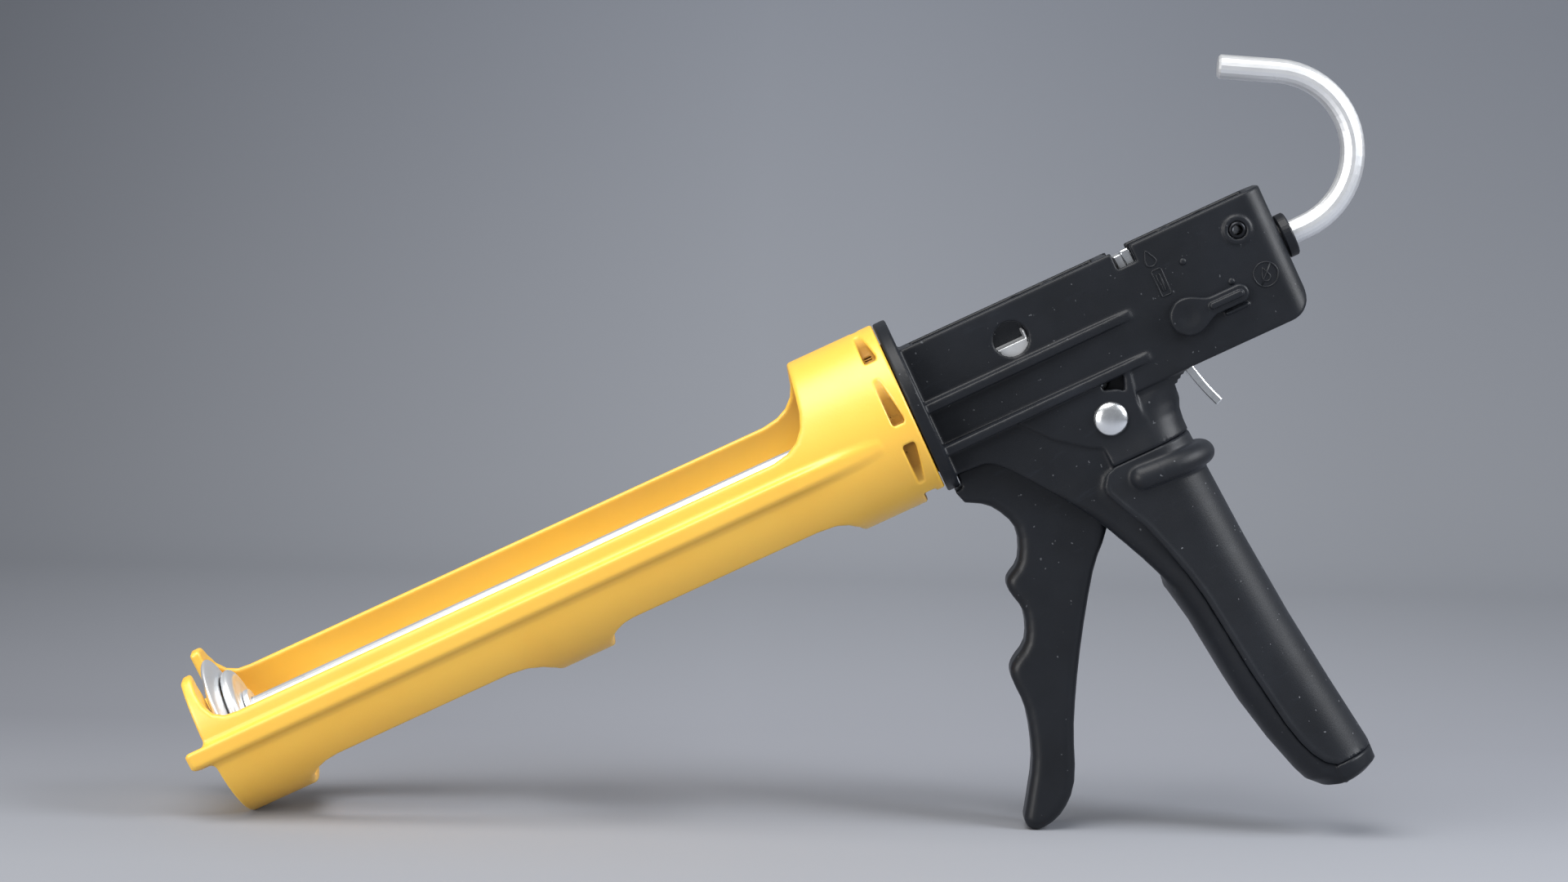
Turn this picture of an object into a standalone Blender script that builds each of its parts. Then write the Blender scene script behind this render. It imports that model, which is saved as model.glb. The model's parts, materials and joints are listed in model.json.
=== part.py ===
"""Drip-free caulking gun, standing on the front foot of its cradle and the tip of its trigger.

Everything is modelled in the gun's own frame, in millimetres: the origin is on the push rod's
axis at the middle of the frame's front flange, X runs along the rod towards the hook, Z is up
and the near side is -Y. The last step tilts the gun until it stands on the floor, Z = 0.
"""
import math

import bmesh
import bpy
from mathutils import Vector

MM = 0.001
GAP = 0.3                      # clearance between touching pieces

# Cradle
CRADLE_TURN = 9.4              # degrees that the swivelling cradle is turned, near side down
CRADLE_R = 30.0
CRADLE_WALL = 2.6
CRADLE_FRONT = -253.2
CRADLE_REAR = -3.0
NOSE_PLATE = 3.8
NOSE_TOP = 22.8
NOZZLE_HALF_WIDTH = 13.0
WALL_TOP = 8.35                # height of the trough's side walls over the rod's axis
TROUGH_CUT = -19.6             # the trough's underside is open below this height
RIB_OUT = 32.7
RIB_HALF = 3.0
POCKETS = 8
POCKET_DEPTH = 1.9

# Frame
FLANGE_R = 29.8
FLANGE_REAR = 1.7
BODY_TOP = 19.0
BODY_BOTTOM = -25.2
BODY_REAR = 129.7
BODY_HALF = 12.0
CHANNEL_HALF = 8.6
PAD = 0.8                      # raised pad round the trigger's pin
SPIGOT_R = 22.6
SPIGOT_RIM_R = 26.4

# Grip
GRIP_HALF = 14.2
SLEEVE = 1.8
SLEEVE_TOP = -44.2
SLEEVE_BOTTOM = -162.5
RIDGE_Z = -50.9
RIDGE_DROP = 1.6
RIDGE_R = 4.1

# Rod and hook
ROD_R = 4.0
ROD_FRONT = -251.4
HOOK_X = 138.3
HOOK_R = 26.4
HOOK_SWEEP = 151.0
HOOK_TAIL = 19.5

# Piston, a pair of pressed cups on the front of the rod
PISTON_FRONT = -249.0

# Trigger and its linkage
PIVOT = (54.7, 0.0, -29.5)
TRIGGER_HALF = 8.0
PIN_R = 3.0
ROLLER = (66.4, -12.75)
ROLLER_R = 2.5
DRIVE_PLATE = 2.4
DRIVE_REAR = 63.6

# Brake, pushed off the rod by the thumb tab
BRAKE_TOP = (81.4, 0.0, 17.5)
BRAKE_LEAN = 4.6
BRAKE_PLATE = 2.8

# Selector
SELECTOR = (91.0, 0.0, -9.85)
LEVER_R = 6.2
LEVER_TIP = 21.0
REAR_PIN = (116.8, 8.85)

for old in list(bpy.data.objects):
    bpy.data.objects.remove(old, do_unlink=True)


# ---------------------------------------------------------------- materials and helpers

def material(name, rgb, roughness, metallic=0.0):
    mat = bpy.data.materials.new(name)
    mat.use_nodes = True
    shader = mat.node_tree.nodes["Principled BSDF"]
    shader.inputs["Base Color"].default_value = (*rgb, 1.0)
    shader.inputs["Roughness"].default_value = roughness
    shader.inputs["Metallic"].default_value = metallic
    mat.diffuse_color = (*rgb, 1.0)
    return mat


YELLOW = material("yellow_plastic", (0.91, 0.53, 0.065), 0.45)
BLACK = material("black_composite", (0.022, 0.024, 0.028), 0.5)
RUBBER = material("black_soft_grip", (0.028, 0.030, 0.034), 0.7)
TRIGGER_BLACK = material("black_trigger", (0.020, 0.021, 0.024), 0.45)
STEEL = material("zinc_plated_steel", (0.78, 0.79, 0.80), 0.25, 1.0)
ROD_STEEL = material("brushed_rod", (0.80, 0.81, 0.82), 0.32, 1.0)
DARK_STEEL = material("oiled_spring_steel", (0.35, 0.35, 0.36), 0.4, 1.0)

gun = bpy.data.objects.new("gun", None)
bpy.context.collection.objects.link(gun)
cradle_pivot = bpy.data.objects.new("cradle_pivot", None)
bpy.context.collection.objects.link(cradle_pivot)
cradle_pivot.parent = gun
cradle_pivot.rotation_euler = (math.radians(CRADLE_TURN), 0.0, 0.0)


def make(name, verts, faces, mat, pivot=(0.0, 0.0, 0.0), parent=None, sharp=32.0):
    """An object from points in millimetres, with its origin on the given pivot."""
    centre = Vector(pivot)
    mesh = bpy.data.meshes.new(name)
    mesh.from_pydata([(Vector(v) - centre) * MM for v in verts], [], faces)
    bm = bmesh.new()
    bm.from_mesh(mesh)
    bmesh.ops.remove_doubles(bm, verts=bm.verts, dist=1e-7)
    bmesh.ops.recalc_face_normals(bm, faces=bm.faces)
    bm.to_mesh(mesh)
    bm.free()
    mesh.materials.append(mat)
    mesh.shade_smooth()
    mesh.set_sharp_from_angle(angle=math.radians(sharp))
    obj = bpy.data.objects.new(name, mesh)
    bpy.context.collection.objects.link(obj)
    obj.parent = parent or gun
    obj.location = centre * MM
    return obj


def rings_to_solid(rings):
    """Faces that skin closed rings of equal length, with flat ends."""
    count = len(rings[0])
    verts = [v for ring in rings for v in ring]
    faces = [tuple(range(count))[::-1]]
    for i in range(len(rings) - 1):
        a, b = i * count, (i + 1) * count
        for j in range(count):
            k = (j + 1) % count
            faces.append((a + j, a + k, b + k, b + j))
    faces.append(tuple(range((len(rings) - 1) * count, len(rings) * count)))
    return verts, faces


def prism(name, outline, y0, y1, mat=BLACK, **kw):
    """An X-Z outline extruded along Y."""
    rings = [[(x, y, z) for x, z in outline] for y in (y0, y1)]
    return make(name, *rings_to_solid(rings), mat, **kw)


def slab(name, outline, z0, z1, mat=BLACK, **kw):
    """An X-Y outline extruded along Z."""
    rings = [[(x, y, z) for x, y in outline] for z in (z0, z1)]
    return make(name, *rings_to_solid(rings), mat, **kw)


def box(name, x0, x1, y0, y1, z0, z1, mat=BLACK, **kw):
    return prism(name, [(x0, z0), (x1, z0), (x1, z1), (x0, z1)], y0, y1, mat, **kw)


def circle(cx, cz, r, n=32, a0=0.0, a1=360.0):
    """Points on a circle, or on an arc with both its ends."""
    full = abs(a1 - a0) >= 360.0
    steps = n if full else n - 1
    angles = [math.radians(a0 + (a1 - a0) * i / steps) for i in range(n)]
    return [(cx + r * math.cos(a), cz + r * math.sin(a)) for a in angles]


def disc(name, x, z, r, y0, y1, mat=BLACK, n=32, **kw):
    """A cylinder along Y."""
    return prism(name, circle(x, z, r, n), y0, y1, mat, **kw)


def turned(name, profile, mat=BLACK, segments=48, **kw):
    """A closed X-radius profile turned about the rod's axis; radius 0 closes on the axis."""
    verts = []
    rows = []
    for x, r in profile:
        count = 1 if r == 0 else segments
        rows.append(list(range(len(verts), len(verts) + count)))
        for i in range(count):
            a = 2 * math.pi * i / segments
            verts.append((x, r * math.cos(a), r * math.sin(a)))
    faces = []
    for i, row in enumerate(rows):
        nxt = rows[(i + 1) % len(rows)]
        if len(row) == 1 and len(nxt) == 1:
            continue
        for j in range(segments):
            k = (j + 1) % segments
            quad = [row[j % len(row)], row[k % len(row)], nxt[k % len(nxt)], nxt[j % len(nxt)]]
            faces.append(tuple(dict.fromkeys(quad)))
    return make(name, verts, faces, mat, **kw)


def tube(name, path, radii, mat, sides=16, **kw):
    """A round bar along a path, with its own radius at each point."""
    points = [Vector(p) for p in path]
    rings = []
    up = None
    for i, p in enumerate(points):
        ahead = points[min(i + 1, len(points) - 1)]
        behind = points[max(i - 1, 0)]
        along = (ahead - behind).normalized()
        if up is None:
            up = along.orthogonal().normalized()
        up = (up - along * up.dot(along)).normalized()
        side = along.cross(up)
        ring = []
        for j in range(sides):
            a = 2 * math.pi * j / sides
            ring.append(tuple(p + (up * math.cos(a) + side * math.sin(a)) * radii[i]))
        rings.append(ring)
    return make(name, *rings_to_solid(rings), mat, **kw)


def smooth(points, steps=4):
    """A Catmull-Rom curve through the points, with both its ends."""
    out = []
    for i in range(len(points) - 1):
        p0 = points[max(i - 1, 0)]
        p1, p2 = points[i], points[i + 1]
        p3 = points[min(i + 2, len(points) - 1)]
        for s in range(steps):
            t = s / steps
            out.append(tuple(
                0.5 * (2 * b + (c - a) * t + (2 * a - 5 * b + 4 * c - d) * t * t
                       + (3 * b - a - 3 * c + d) * t ** 3)
                for a, b, c, d in zip(p0, p1, p2, p3)))
    out.append(points[-1])
    return out


def at_height(z, curve):
    """The X of a line of (z, x) points, listed downwards, at height z."""
    if z >= curve[0][0]:
        return curve[0][1]
    for (z0, x0), (z1, x1) in zip(curve, curve[1:]):
        if z >= z1:
            return x0 + (x1 - x0) * (z - z0) / (z1 - z0)
    return curve[-1][1]


def bevel(obj, width, segments=2, angle=30.0):
    mod = obj.modifiers.new("bevel", "BEVEL")
    mod.width = width * MM
    mod.segments = segments
    mod.limit_method = "ANGLE"
    mod.angle_limit = math.radians(angle)
    mod.use_clamp_overlap = True


def combine(target, tool, operation):
    mod = target.modifiers.new(tool.name, "BOOLEAN")
    mod.operation = operation
    mod.object = tool
    tool.hide_render = True
    tool.display_type = "WIRE"


def add(target, tool):
    combine(target, tool, "UNION")


def cut(target, tool):
    combine(target, tool, "DIFFERENCE")


def mirrored(outline):
    """The same X-Y outline on the other side of the gun."""
    return [(x, -y) for x, y in reversed(outline)]


# ---------------------------------------------------------------- cradle

def build_cradle():
    inner = CRADLE_R - CRADLE_WALL
    profile = [
        (CRADLE_FRONT, 0), (CRADLE_FRONT, CRADLE_R - 1), (CRADLE_FRONT + 1, CRADLE_R),
        (CRADLE_REAR - 0.6, CRADLE_R), (CRADLE_REAR, CRADLE_R - 0.6),
        (CRADLE_REAR, SPIGOT_R + GAP), (CRADLE_REAR - 3.6, SPIGOT_R + GAP),
        (CRADLE_REAR - 3.6, inner), (CRADLE_FRONT + NOSE_PLATE, inner),
        (CRADLE_FRONT + NOSE_PLATE, 0)]
    cradle = turned("cradle", profile, YELLOW, 72, parent=cradle_pivot)
    at = {"parent": cradle_pivot, "mat": YELLOW}

    rib = [(-258.6, 28.2), (-260.4, 29.4), (-260.4, 31.2), (-259, RIB_OUT), (-48, RIB_OUT),
           (-19, 29.6), (-19, 28.2)]
    for side, outline in (("near", mirrored(rib)), ("far", rib)):
        bar = slab("rib_" + side, outline, -RIB_HALF, RIB_HALF, **at)
        bevel(bar, 1.1)
        add(cradle, bar)
    far = 60
    plate_rear = CRADLE_FRONT + NOSE_PLATE
    mouth = [(plate_rear, far), (plate_rear, 18), (-248.6, 14), (-246.6, 10.6),
             (-243.4, WALL_TOP + 0.4), (-239, WALL_TOP), (-50, WALL_TOP), (-44.5, 9.3),
             (-40.5, 11.3), (-37.4, 14.6), (-35.6, 18.6), (-34.6, 23), (-33, 31), (-33, far)]
    cut(cradle, prism("mouth_cut", mouth, -far, far, **at))
    cut(cradle, box("ear_cut", CRADLE_FRONT - 1, plate_rear + 0.01, -far, far, NOSE_TOP, far, **at))
    slot = [(NOZZLE_HALF_WIDTH, far)] + circle(0, 0, NOZZLE_HALF_WIDTH, 17, 0, -180) \
        + [(-NOZZLE_HALF_WIDTH, far)]
    rings = [[(x, y, z) for y, z in slot] for x in (CRADLE_FRONT - 1, plate_rear + 0.4)]
    cut(cradle, make("nozzle_cut", *rings_to_solid(rings), **at))

    low = -far
    front_gap = [(-230.4, low), (-230.2, -27.4), (-228.4, -24.2), (-225.6, -21.8), (-222.0, -20.3),
                 (-217.5, TROUGH_CUT), (-156, TROUGH_CUT), (-150, -20.6), (-145.5, -23),
                 (-142.6, -26), (-141, -29.4), (-140.6, low)]
    rear_gap = [(-122.6, low), (-122.4, -26.8), (-120.8, -23.6), (-118.4, -21.6),
                (-115.6, -20.2), (-112, TROUGH_CUT), (-46.5, TROUGH_CUT), (-40, -20.4),
                (-36.4, -22.4), (-33.6, -25.6), (-32.3, -28.8), (-31.9, low)]
    cut(cradle, prism("front_gap_cut", front_gap, -far, far, **at))
    cut(cradle, prism("rear_gap_cut", rear_gap, -far, far, **at))
    cut(cradle, box("notch_cut", -9.8, 0, -far, far, low, -24.6, **at))

    for i in range(POCKETS):
        build_pocket(cradle, (i + 0.5) * 360 / POCKETS, at)
    return cradle


def build_pocket(cradle, degrees, at):
    """A blind pocket in the collar, deep and square at one end, shallow and narrow at the other."""
    a = math.radians(degrees)
    radial = Vector((0, math.cos(a), math.sin(a)))
    along = Vector((0, -math.sin(a), math.cos(a)))
    if math.sin(a) * math.cos(a) < 0:
        along = -along
    outline = [(-10.2, -8.0), (-5.9, -8.0), (-6.5, -1.0), (-7.9, 7.6), (-8.9, 8.2),
               (-9.8, 7.4), (-10.2, 4.0)]
    rings = []
    for top in (False, True):
        ring = []
        for x, t in outline:
            curve = CRADLE_R - math.sqrt(CRADLE_R ** 2 - t * t)
            depth = POCKET_DEPTH * (0.62 - 0.38 * t / 8.2)
            reach = CRADLE_R + 3 if top else CRADLE_R - curve - depth
            ring.append(tuple(Vector((x, 0, 0)) + along * t + radial * reach))
        rings.append(ring)
    floor, top = rings
    middle = tuple(sum((Vector(p) for p in floor), Vector()) / len(floor) + radial * 0.25)
    n = len(outline)
    faces = [(i, (i + 1) % n, n + (i + 1) % n, n + i) for i in range(n)]
    faces += [(i, (i + 1) % n, 2 * n) for i in range(n)] + [tuple(range(n, 2 * n))]
    cut(cradle, make("pocket_cut_%d" % degrees, floor + top + [middle], faces, **at))


# ---------------------------------------------------------------- grip

GRIP_REAR = [(-22, 96), (-24.4, 91.4), (-26, 87.2), (-28.5, 82.6), (-30.4, 80.4), (-32.4, 78.9),
             (-36.3, 77.2), (-40.2, 76.7), (-45.6, 76.7), (-57, 77.3), (-83, 79.0), (-112, 81.7),
             (-137, 84.8), (-161, 88.2), (-167.4, 88.0), (-168.9, 84.7), (-169.8, 80)]
GRIP_FRONT = [(-30, 46), (-44, 44), (-46, 40), (-50, 39.4), (-58, 40.6), (-64, 40.6), (-74, 44),
              (-89, 48.7), (-101.2, 51.1), (-121.7, 53.5), (-132, 55), (-147, 58.4),
              (-160, 62.3), (-164.5, 64.2), (-168.4, 68.1), (-169.8, 73)]
SLEEVE_FRONT = [(-44.2, 49.5), (-45.4, 46), (-48.7, 43.7), (-51, 43.4), (-58.4, 46.7),
                (-66.2, 50.6), (-75, 53.5), (-85.6, 56.5), (-94.4, 58.4), (-107, 60.0),
                (-121.7, 61.8), (-143, 65.2), (-150.9, 67.2), (-155.7, 69.1), (-160, 71.8),
                (-162.5, 75.0)]
GRIP_WIDTH = [(-22, 10), (-25.2, 10.5), (-30, 11.8), (-36, 12.6), (-44, GRIP_HALF),
              (-164, GRIP_HALF), (-167.6, 13.2), (-169.0, 11.4), (-169.8, 9.6)]
FRONT_WIDTH = [(-22, 9.5), (-62, 11.6), (-74, 12.2), (-90, 13.2), (-164, 13.4), (-167.6, 12.6),
               (-169.0, 11.0), (-169.8, 9.4)]
SLEEVE_STATIONS = (SLEEVE_TOP, -45.4, -48.7, -51, -54.5, -58.4, -64, -74, -85.6, -94.4, -107,
                   -121.7, -132, -143, -150.9, -155.7, -160, SLEEVE_BOTTOM)


def rear_centre(z):
    """The X about which the grip's round back is drawn."""
    return max(at_height(z, GRIP_REAR) - 14.0, at_height(z, SLEEVE_FRONT) + 1.0)


def grip_ring(z, step):
    """The frame's section through the grip, sunk by step where the sleeve covers it."""
    rear = at_height(z, GRIP_REAR)
    front = at_height(z, GRIP_FRONT)
    edge = at_height(z, SLEEVE_FRONT) - GAP
    half = at_height(z, GRIP_WIDTH)
    front_half = at_height(z, FRONT_WIDTH)
    rear_axis = rear_centre(z)
    nose = max(min(8.0, edge - front - GAP), 2.0)
    ring = []
    for i in range(9):
        a = math.radians(-90 + 22.5 * i)
        ring.append((front + nose - nose * math.cos(a), front_half * math.sin(a), z))
    back = []
    for i in range(13):
        a = math.radians(90 - 15 * i)
        back.append((rear_axis + (rear - step - rear_axis) * math.cos(a),
                     (half - step) * math.sin(a), z))
    ring.append((edge, front_half, z))
    ring.append((edge + 0.1, half - step, z))
    ring.extend(back)
    ring.append((edge + 0.1, -(half - step), z))
    ring.append((edge, -front_half, z))
    return ring


def build_grip_core():
    step = SLEEVE + GAP
    rings = [grip_ring(z, 0.0) for z in (-22, -24, -25.2, -26.4, -28, -30, -33, -36.5, -40, -43.7)]
    rings.append(grip_ring(SLEEVE_TOP + GAP, step))
    rings += [grip_ring(z, step) for z in SLEEVE_STATIONS[1:-1]]
    rings.append(grip_ring(SLEEVE_BOTTOM - GAP, step))
    rings += [grip_ring(z, 0.0) for z in (-163.0, -166, -168, -169.2, -169.8)]
    return make("grip_core", *rings_to_solid(rings), BLACK)


def build_sleeve():
    rings = []
    for z in SLEEVE_STATIONS:
        rear = at_height(z, GRIP_REAR)
        edge = at_height(z, SLEEVE_FRONT)
        rear_axis = rear_centre(z)
        ring = []
        for sink, order in ((0.0, 1), (SLEEVE, -1)):
            lip = 0.2 if sink else -0.6
            side = [(edge, GRIP_HALF - sink + lip), (edge + 0.6, GRIP_HALF - sink)]
            arc = []
            for i in range(13):
                a = math.radians(90 - 15 * i)
                arc.append((rear_axis + (rear - sink - rear_axis) * math.cos(a),
                            (GRIP_HALF - sink) * math.sin(a)))
            line = side + arc + [(x, -y) for x, y in reversed(side)]
            ring.extend([(x, y, z) for x, y in line[::order]])
        rings.append(ring)
    sleeve = make("grip_sleeve", *rings_to_solid(rings), RUBBER)

    path = [(53.5, -GRIP_HALF + 1.4), (56, -GRIP_HALF + 0.6), (62.6, -GRIP_HALF + 0.6)]
    path += [(62.6 + 15.0 * math.cos(a), (GRIP_HALF - 0.6) * math.sin(a))
             for a in (math.radians(-75 + 15 * i) for i in range(11))]
    path += [(x, -y) for x, y in reversed(path[:3])]
    ridge_path = [(x, y, RIDGE_Z - RIDGE_DROP * (x - 53.5) / 24) for x, y in path]
    ends = [0.55, 0.9]
    radii = [RIDGE_R * e for e in ends] + [RIDGE_R] * (len(path) - 4) \
        + [RIDGE_R * e for e in reversed(ends)]
    ridge = tube("ridge", ridge_path, radii, RUBBER, 14)
    rings = [grip_ring(z, SLEEVE - 0.4) for z in (-46.5, -49, -51.3, -54, -56.5)]
    bore = make("ridge_bore", *rings_to_solid(rings), RUBBER)
    cut(ridge, bore)
    add(sleeve, ridge)
    return sleeve


# ---------------------------------------------------------------- frame

def build_frame():
    plan = [(-1, -BODY_HALF), (-1, BODY_HALF)]
    plan += circle(BODY_REAR - 5, BODY_HALF - 5, 5, 6, 90, 0)
    plan += circle(BODY_REAR - 5, -BODY_HALF + 5, 5, 6, 0, -90)
    frame = slab("frame", plan, -100, BODY_TOP)
    side = [(1.5, BODY_TOP + 9), (1.5, BODY_BOTTOM)]
    side += smooth([(10.7, -25.7), (15.6, -28.2), (25.5, -40.5), (34.5, -54.0), (38.9, -62.3)], 3)
    side += [(50, -86), (55, -96), (62, -96), (65, -60), (65, BODY_BOTTOM)]
    side += circle(BODY_REAR - 8.5, BODY_BOTTOM + 8.5, 8.5, 8, -90, 0)
    side += [(BODY_REAR + 3, BODY_BOTTOM + 8.5), (BODY_REAR + 3, BODY_TOP + 9)]
    keep = prism("side_profile", side, -40, 40)
    combine(frame, keep, "INTERSECT")
    bevel(frame, 0.9, 2, 40.0)

    add(frame, build_grip_core())

    flange = [(4, 0), (4, 10), (FLANGE_REAR, 10), (FLANGE_REAR, FLANGE_R - 0.7),
              (FLANGE_REAR - 0.7, FLANGE_R), (-2.1, FLANGE_R), (-2.7, FLANGE_R - 0.6),
              (-2.7, SPIGOT_R), (-6.9, SPIGOT_R), (-6.9, SPIGOT_RIM_R), (-12.4, SPIGOT_RIM_R),
              (-12.4, 0)]
    add(frame, turned("flange", flange, BLACK, 72))

    gusset = [(0.5, BODY_HALF - 1), (0.5, BODY_HALF + 8.2), (6, BODY_HALF + 7.6),
              (74, BODY_HALF + 0.7), (76.5, BODY_HALF - 1)]
    for height in (-1.5, -16.4):
        for side_name, outline in (("near", mirrored(gusset)), ("far", gusset)):
            rib = slab("gusset_%s_%d" % (side_name, -height), outline, height - 1.6, height + 1.6)
            bevel(rib, 0.7)
            add(frame, rib)

    pad = [(67, -17.5), (64.9, -28.5)] + circle(PIVOT[0], PIVOT[2], 10.2, 9, -5, -100) \
        + [(45, -35.6), (35, -28), (26, -17.5)]
    add(frame, prism("pin_pad", pad, -BODY_HALF - PAD, BODY_HALF + PAD))
    x, z = REAR_PIN
    add(frame, disc("rear_pin_boss", x, z, 4.7, -BODY_HALF - 0.6, BODY_HALF + 0.6))
    stop = [(102.3, -14.9), (110, -14.9), (110.6, -14.3), (110, -13.7), (102.3, -13.7)]
    add(frame, prism("selector_stop", stop, -BODY_HALF - 1.2, -BODY_HALF + 1))
    return frame


def hollow_frame(frame):
    half = CHANNEL_HALF
    top = BODY_TOP + 5
    front = [(6, top), (42, top), (42, -14), (44.6, -14), (44.6, top), (71, top), (71.2, -16),
             (68.6, -24), (66, -33), (66, -50), (56.5, -62), (54, -68), (51.2, -78),
             (48.4, -87), (30, -87), (2.2, -40), (2.2, -24), (6, -24)]
    cut(frame, prism("front_channel", front, -half, half))
    rear = [(75.5, top), (108, top), (108, -14), (111, -14), (111, top), (124.5, top),
            (124.5, -21.8), (75.5, -21.8)]
    cut(frame, prism("rear_channel", rear, -half, half))
    cut(frame, box("wall_tops", 41, 45.5, -half, half, 12.5, top))
    cut(frame, box("rear_wall_tops", 107, 112, -half, half, 10.5, top))
    for x in (55.0, 97.0):
        add(frame, box("bridge_%d" % x, x - 1.4, x + 1.4, -half - 1, half + 1, 15.4, 18.3))

    def bore(name, x0, x1, r):
        cut(frame, turned(name, [(x0, 0), (x0, r), (x1, r), (x1, 0)], BLACK, 32))

    bore("rod_bore", -20, 140, ROD_R + 0.6)
    bore("front_bush_bore", -20, 2.7, 6.4)
    bore("rear_bush_bore", 123.5, 135, 5.7)

    def side_hole(name, x, z, r, n=32):
        cut(frame, disc(name, x, z, r, -40, 40, n=n))

    cut(frame, disc("cutter_hole", 36.1, 7.4, 5.8, -40, 0))
    side_hole("trigger_pin_hole", PIVOT[0], PIVOT[2], PIN_R + GAP, 24)
    side_hole("selector_hole", SELECTOR[0], SELECTOR[2], 2.6, 20)
    side_hole("rear_pin_hole", REAR_PIN[0], REAR_PIN[1], 2.9, 20)
    cut(frame, box("top_notch", 76.5, 83.2, -40, 40, 13.3, top))
    window = [(56.2, -18.3), (64.4, -18.3), (62.6, -23.1), (60.4, -21.6), (56.2, -20.2)]
    cut(frame, prism("side_window", window, -40, 40))
    cut(frame, box("thumb_slot", 78.4, 90.5, -6.9, 6.9, -36, -20))


# ---------------------------------------------------------------- rod and piston

def build_rod():
    path = [(ROD_FRONT, 0, 0), (ROD_FRONT + 0.8, 0, 0), (-120, 0, 0), (0, 0, 0)]
    for x, z in circle(HOOK_X, HOOK_R, HOOK_R, 25, -90, -90 + HOOK_SWEEP):
        path.append((x, 0, z))
    a = math.radians(-90 + HOOK_SWEEP)
    x, _, z = path[-1]
    for reach in (HOOK_TAIL - 0.7, HOOK_TAIL):
        path.append((x - math.sin(a) * reach, 0, z + math.cos(a) * reach))
    radii = [ROD_R - 0.7] + [ROD_R] * (len(path) - 2) + [ROD_R - 0.7]
    return tube("push_rod", path, radii, ROD_STEEL, 20)


def build_piston():
    hole = ROD_R + GAP

    def cup(name, profile, mat, segments):
        return turned(name, [(PISTON_FRONT + x, r) for x, r in profile], mat, segments)

    cup("piston_front_cup", [
        (0, hole), (0, 16.8), (0.3, 19.8), (0.9, 21.2), (1.6, 21.6), (2.2, 21.3), (3.4, 17.6),
        (4.0, 15.0), (4.0, 14.4), (3.4, 14.6), (2.6, 17.0), (1.8, 19.4), (1.4, 19.4), (1.0, 17.0),
        (1.0, hole)], STEEL, 44)
    cup("piston_rear_cup", [
        (8.4, hole), (8.4, 12.6), (8.0, 14.2), (7.2, 15.4), (6.2, 15.7), (5.2, 15.3), (4.5, 14.6),
        (4.5, 14.0), (5.4, 14.3), (6.4, 14.4), (7.0, 13.6), (7.4, 12.2), (7.4, hole)], STEEL, 44)
    cup("piston_spacer", [(1.3, hole), (1.3, 8.2), (7.1, 8.2), (7.1, hole)], DARK_STEEL, 24)
    cup("piston_washer", [(8.7, hole), (8.7, 6.6), (9.2, 7.1), (10.2, 7.1), (10.7, 6.6),
                          (10.7, hole)], STEEL, 32)
    hexagon = [(6.2 * math.cos(math.radians(a)), 6.2 * math.sin(math.radians(a)))
               for a in range(0, 360, 60)]
    nut_x = (PISTON_FRONT - 3.8, PISTON_FRONT - GAP)
    nut = make("piston_nut", *rings_to_solid([[(x, y, z) for y, z in hexagon] for x in nut_x]),
               STEEL)
    bore = [(ROD_FRONT - 0.8, 0), (ROD_FRONT - 0.8, hole), (PISTON_FRONT + 1, hole),
            (PISTON_FRONT + 1, 0)]
    cut(nut, turned("nut_bore", bore, STEEL, 24))


# ---------------------------------------------------------------- trigger and drive

def build_trigger():
    px, _, pz = PIVOT
    blade = smooth([(0.6, -35.0), (7.8, -39.9), (12.1, -49.6), (8.6, -59.4), (3.0, -63.3),
                    (1.7, -67.4), (3.1, -75.5), (-0.4, -84.6), (-7.3, -89.3), (-9.4, -94.0),
                    (-9.6, -105.5), (-14.2, -120.5), (-21.6, -132.6), (-25.1, -138.6),
                    (-22.4, -142.7), (-13.6, -141.3), (-4.9, -133.3), (2.9, -115.8),
                    (14.6, -94.9), (29.2, -73.0), (38.9, -62.3), (49.0, -45.0)], 3)
    arm = circle(px, pz, 7.6, 7, -60, 20)
    arm += [(66.4, -22.0), (69.7, -14.0), (69.7, -9.4), (65.0, -9.4), (64.9, -15.4),
            (60.2, -17.8), (56.0, -21.4), (48.0, -24.6), (40.0, -27.0), (3.4, -24.6),
            (2.7, -30.4), (-0.8, -31.3)]
    trigger = prism("trigger", blade + arm, -TRIGGER_HALF, TRIGGER_HALF, TRIGGER_BLACK,
                    pivot=PIVOT)
    bevel(trigger, 2.2, 3, 50.0)
    relief = [(49, 0), (75, 0), (75, -40), (49, -40)]
    for name, y0, y1 in (("near", -20, -7.2), ("far", 7.2, 20)):
        cut(trigger, prism("arm_relief_" + name, relief, y0, y1, TRIGGER_BLACK, pivot=PIVOT))
    cut(trigger, disc("pin_bore", px, pz, PIN_R + GAP, -30, 30, TRIGGER_BLACK, 24, pivot=PIVOT))
    cut(trigger, disc("roller_seat", *ROLLER, ROLLER_R + GAP, -30, 30, TRIGGER_BLACK, 24,
                      pivot=PIVOT))
    roller = disc("trigger_roller", *ROLLER, ROLLER_R, -7.2, 7.2, STEEL, 20, pivot=PIVOT)
    bevel(roller, 0.4)

    near = -BODY_HALF - PAD - GAP
    rings = []
    for y, r in ((near - 2.0, 3.4), (near - 1.8, 4.4), (near - 1.3, 5.1), (near - 0.7, 5.5),
                 (near, 5.5), (near, PIN_R), (13.8, PIN_R), (14.2, PIN_R - 0.4)):
        rings.append([(x, y, z) for x, z in circle(px, pz, r, 32)])
    make("trigger_pin", *rings_to_solid(rings), STEEL, pivot=PIVOT)
    clip = disc("trigger_pin_clip", px, pz, 5.2, -near, -near + 1.2, STEEL, 28, pivot=PIVOT)
    cut(clip, disc("clip_bore", px, pz, PIN_R + 0.25, 5, 30, STEEL, 24, pivot=PIVOT))


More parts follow.
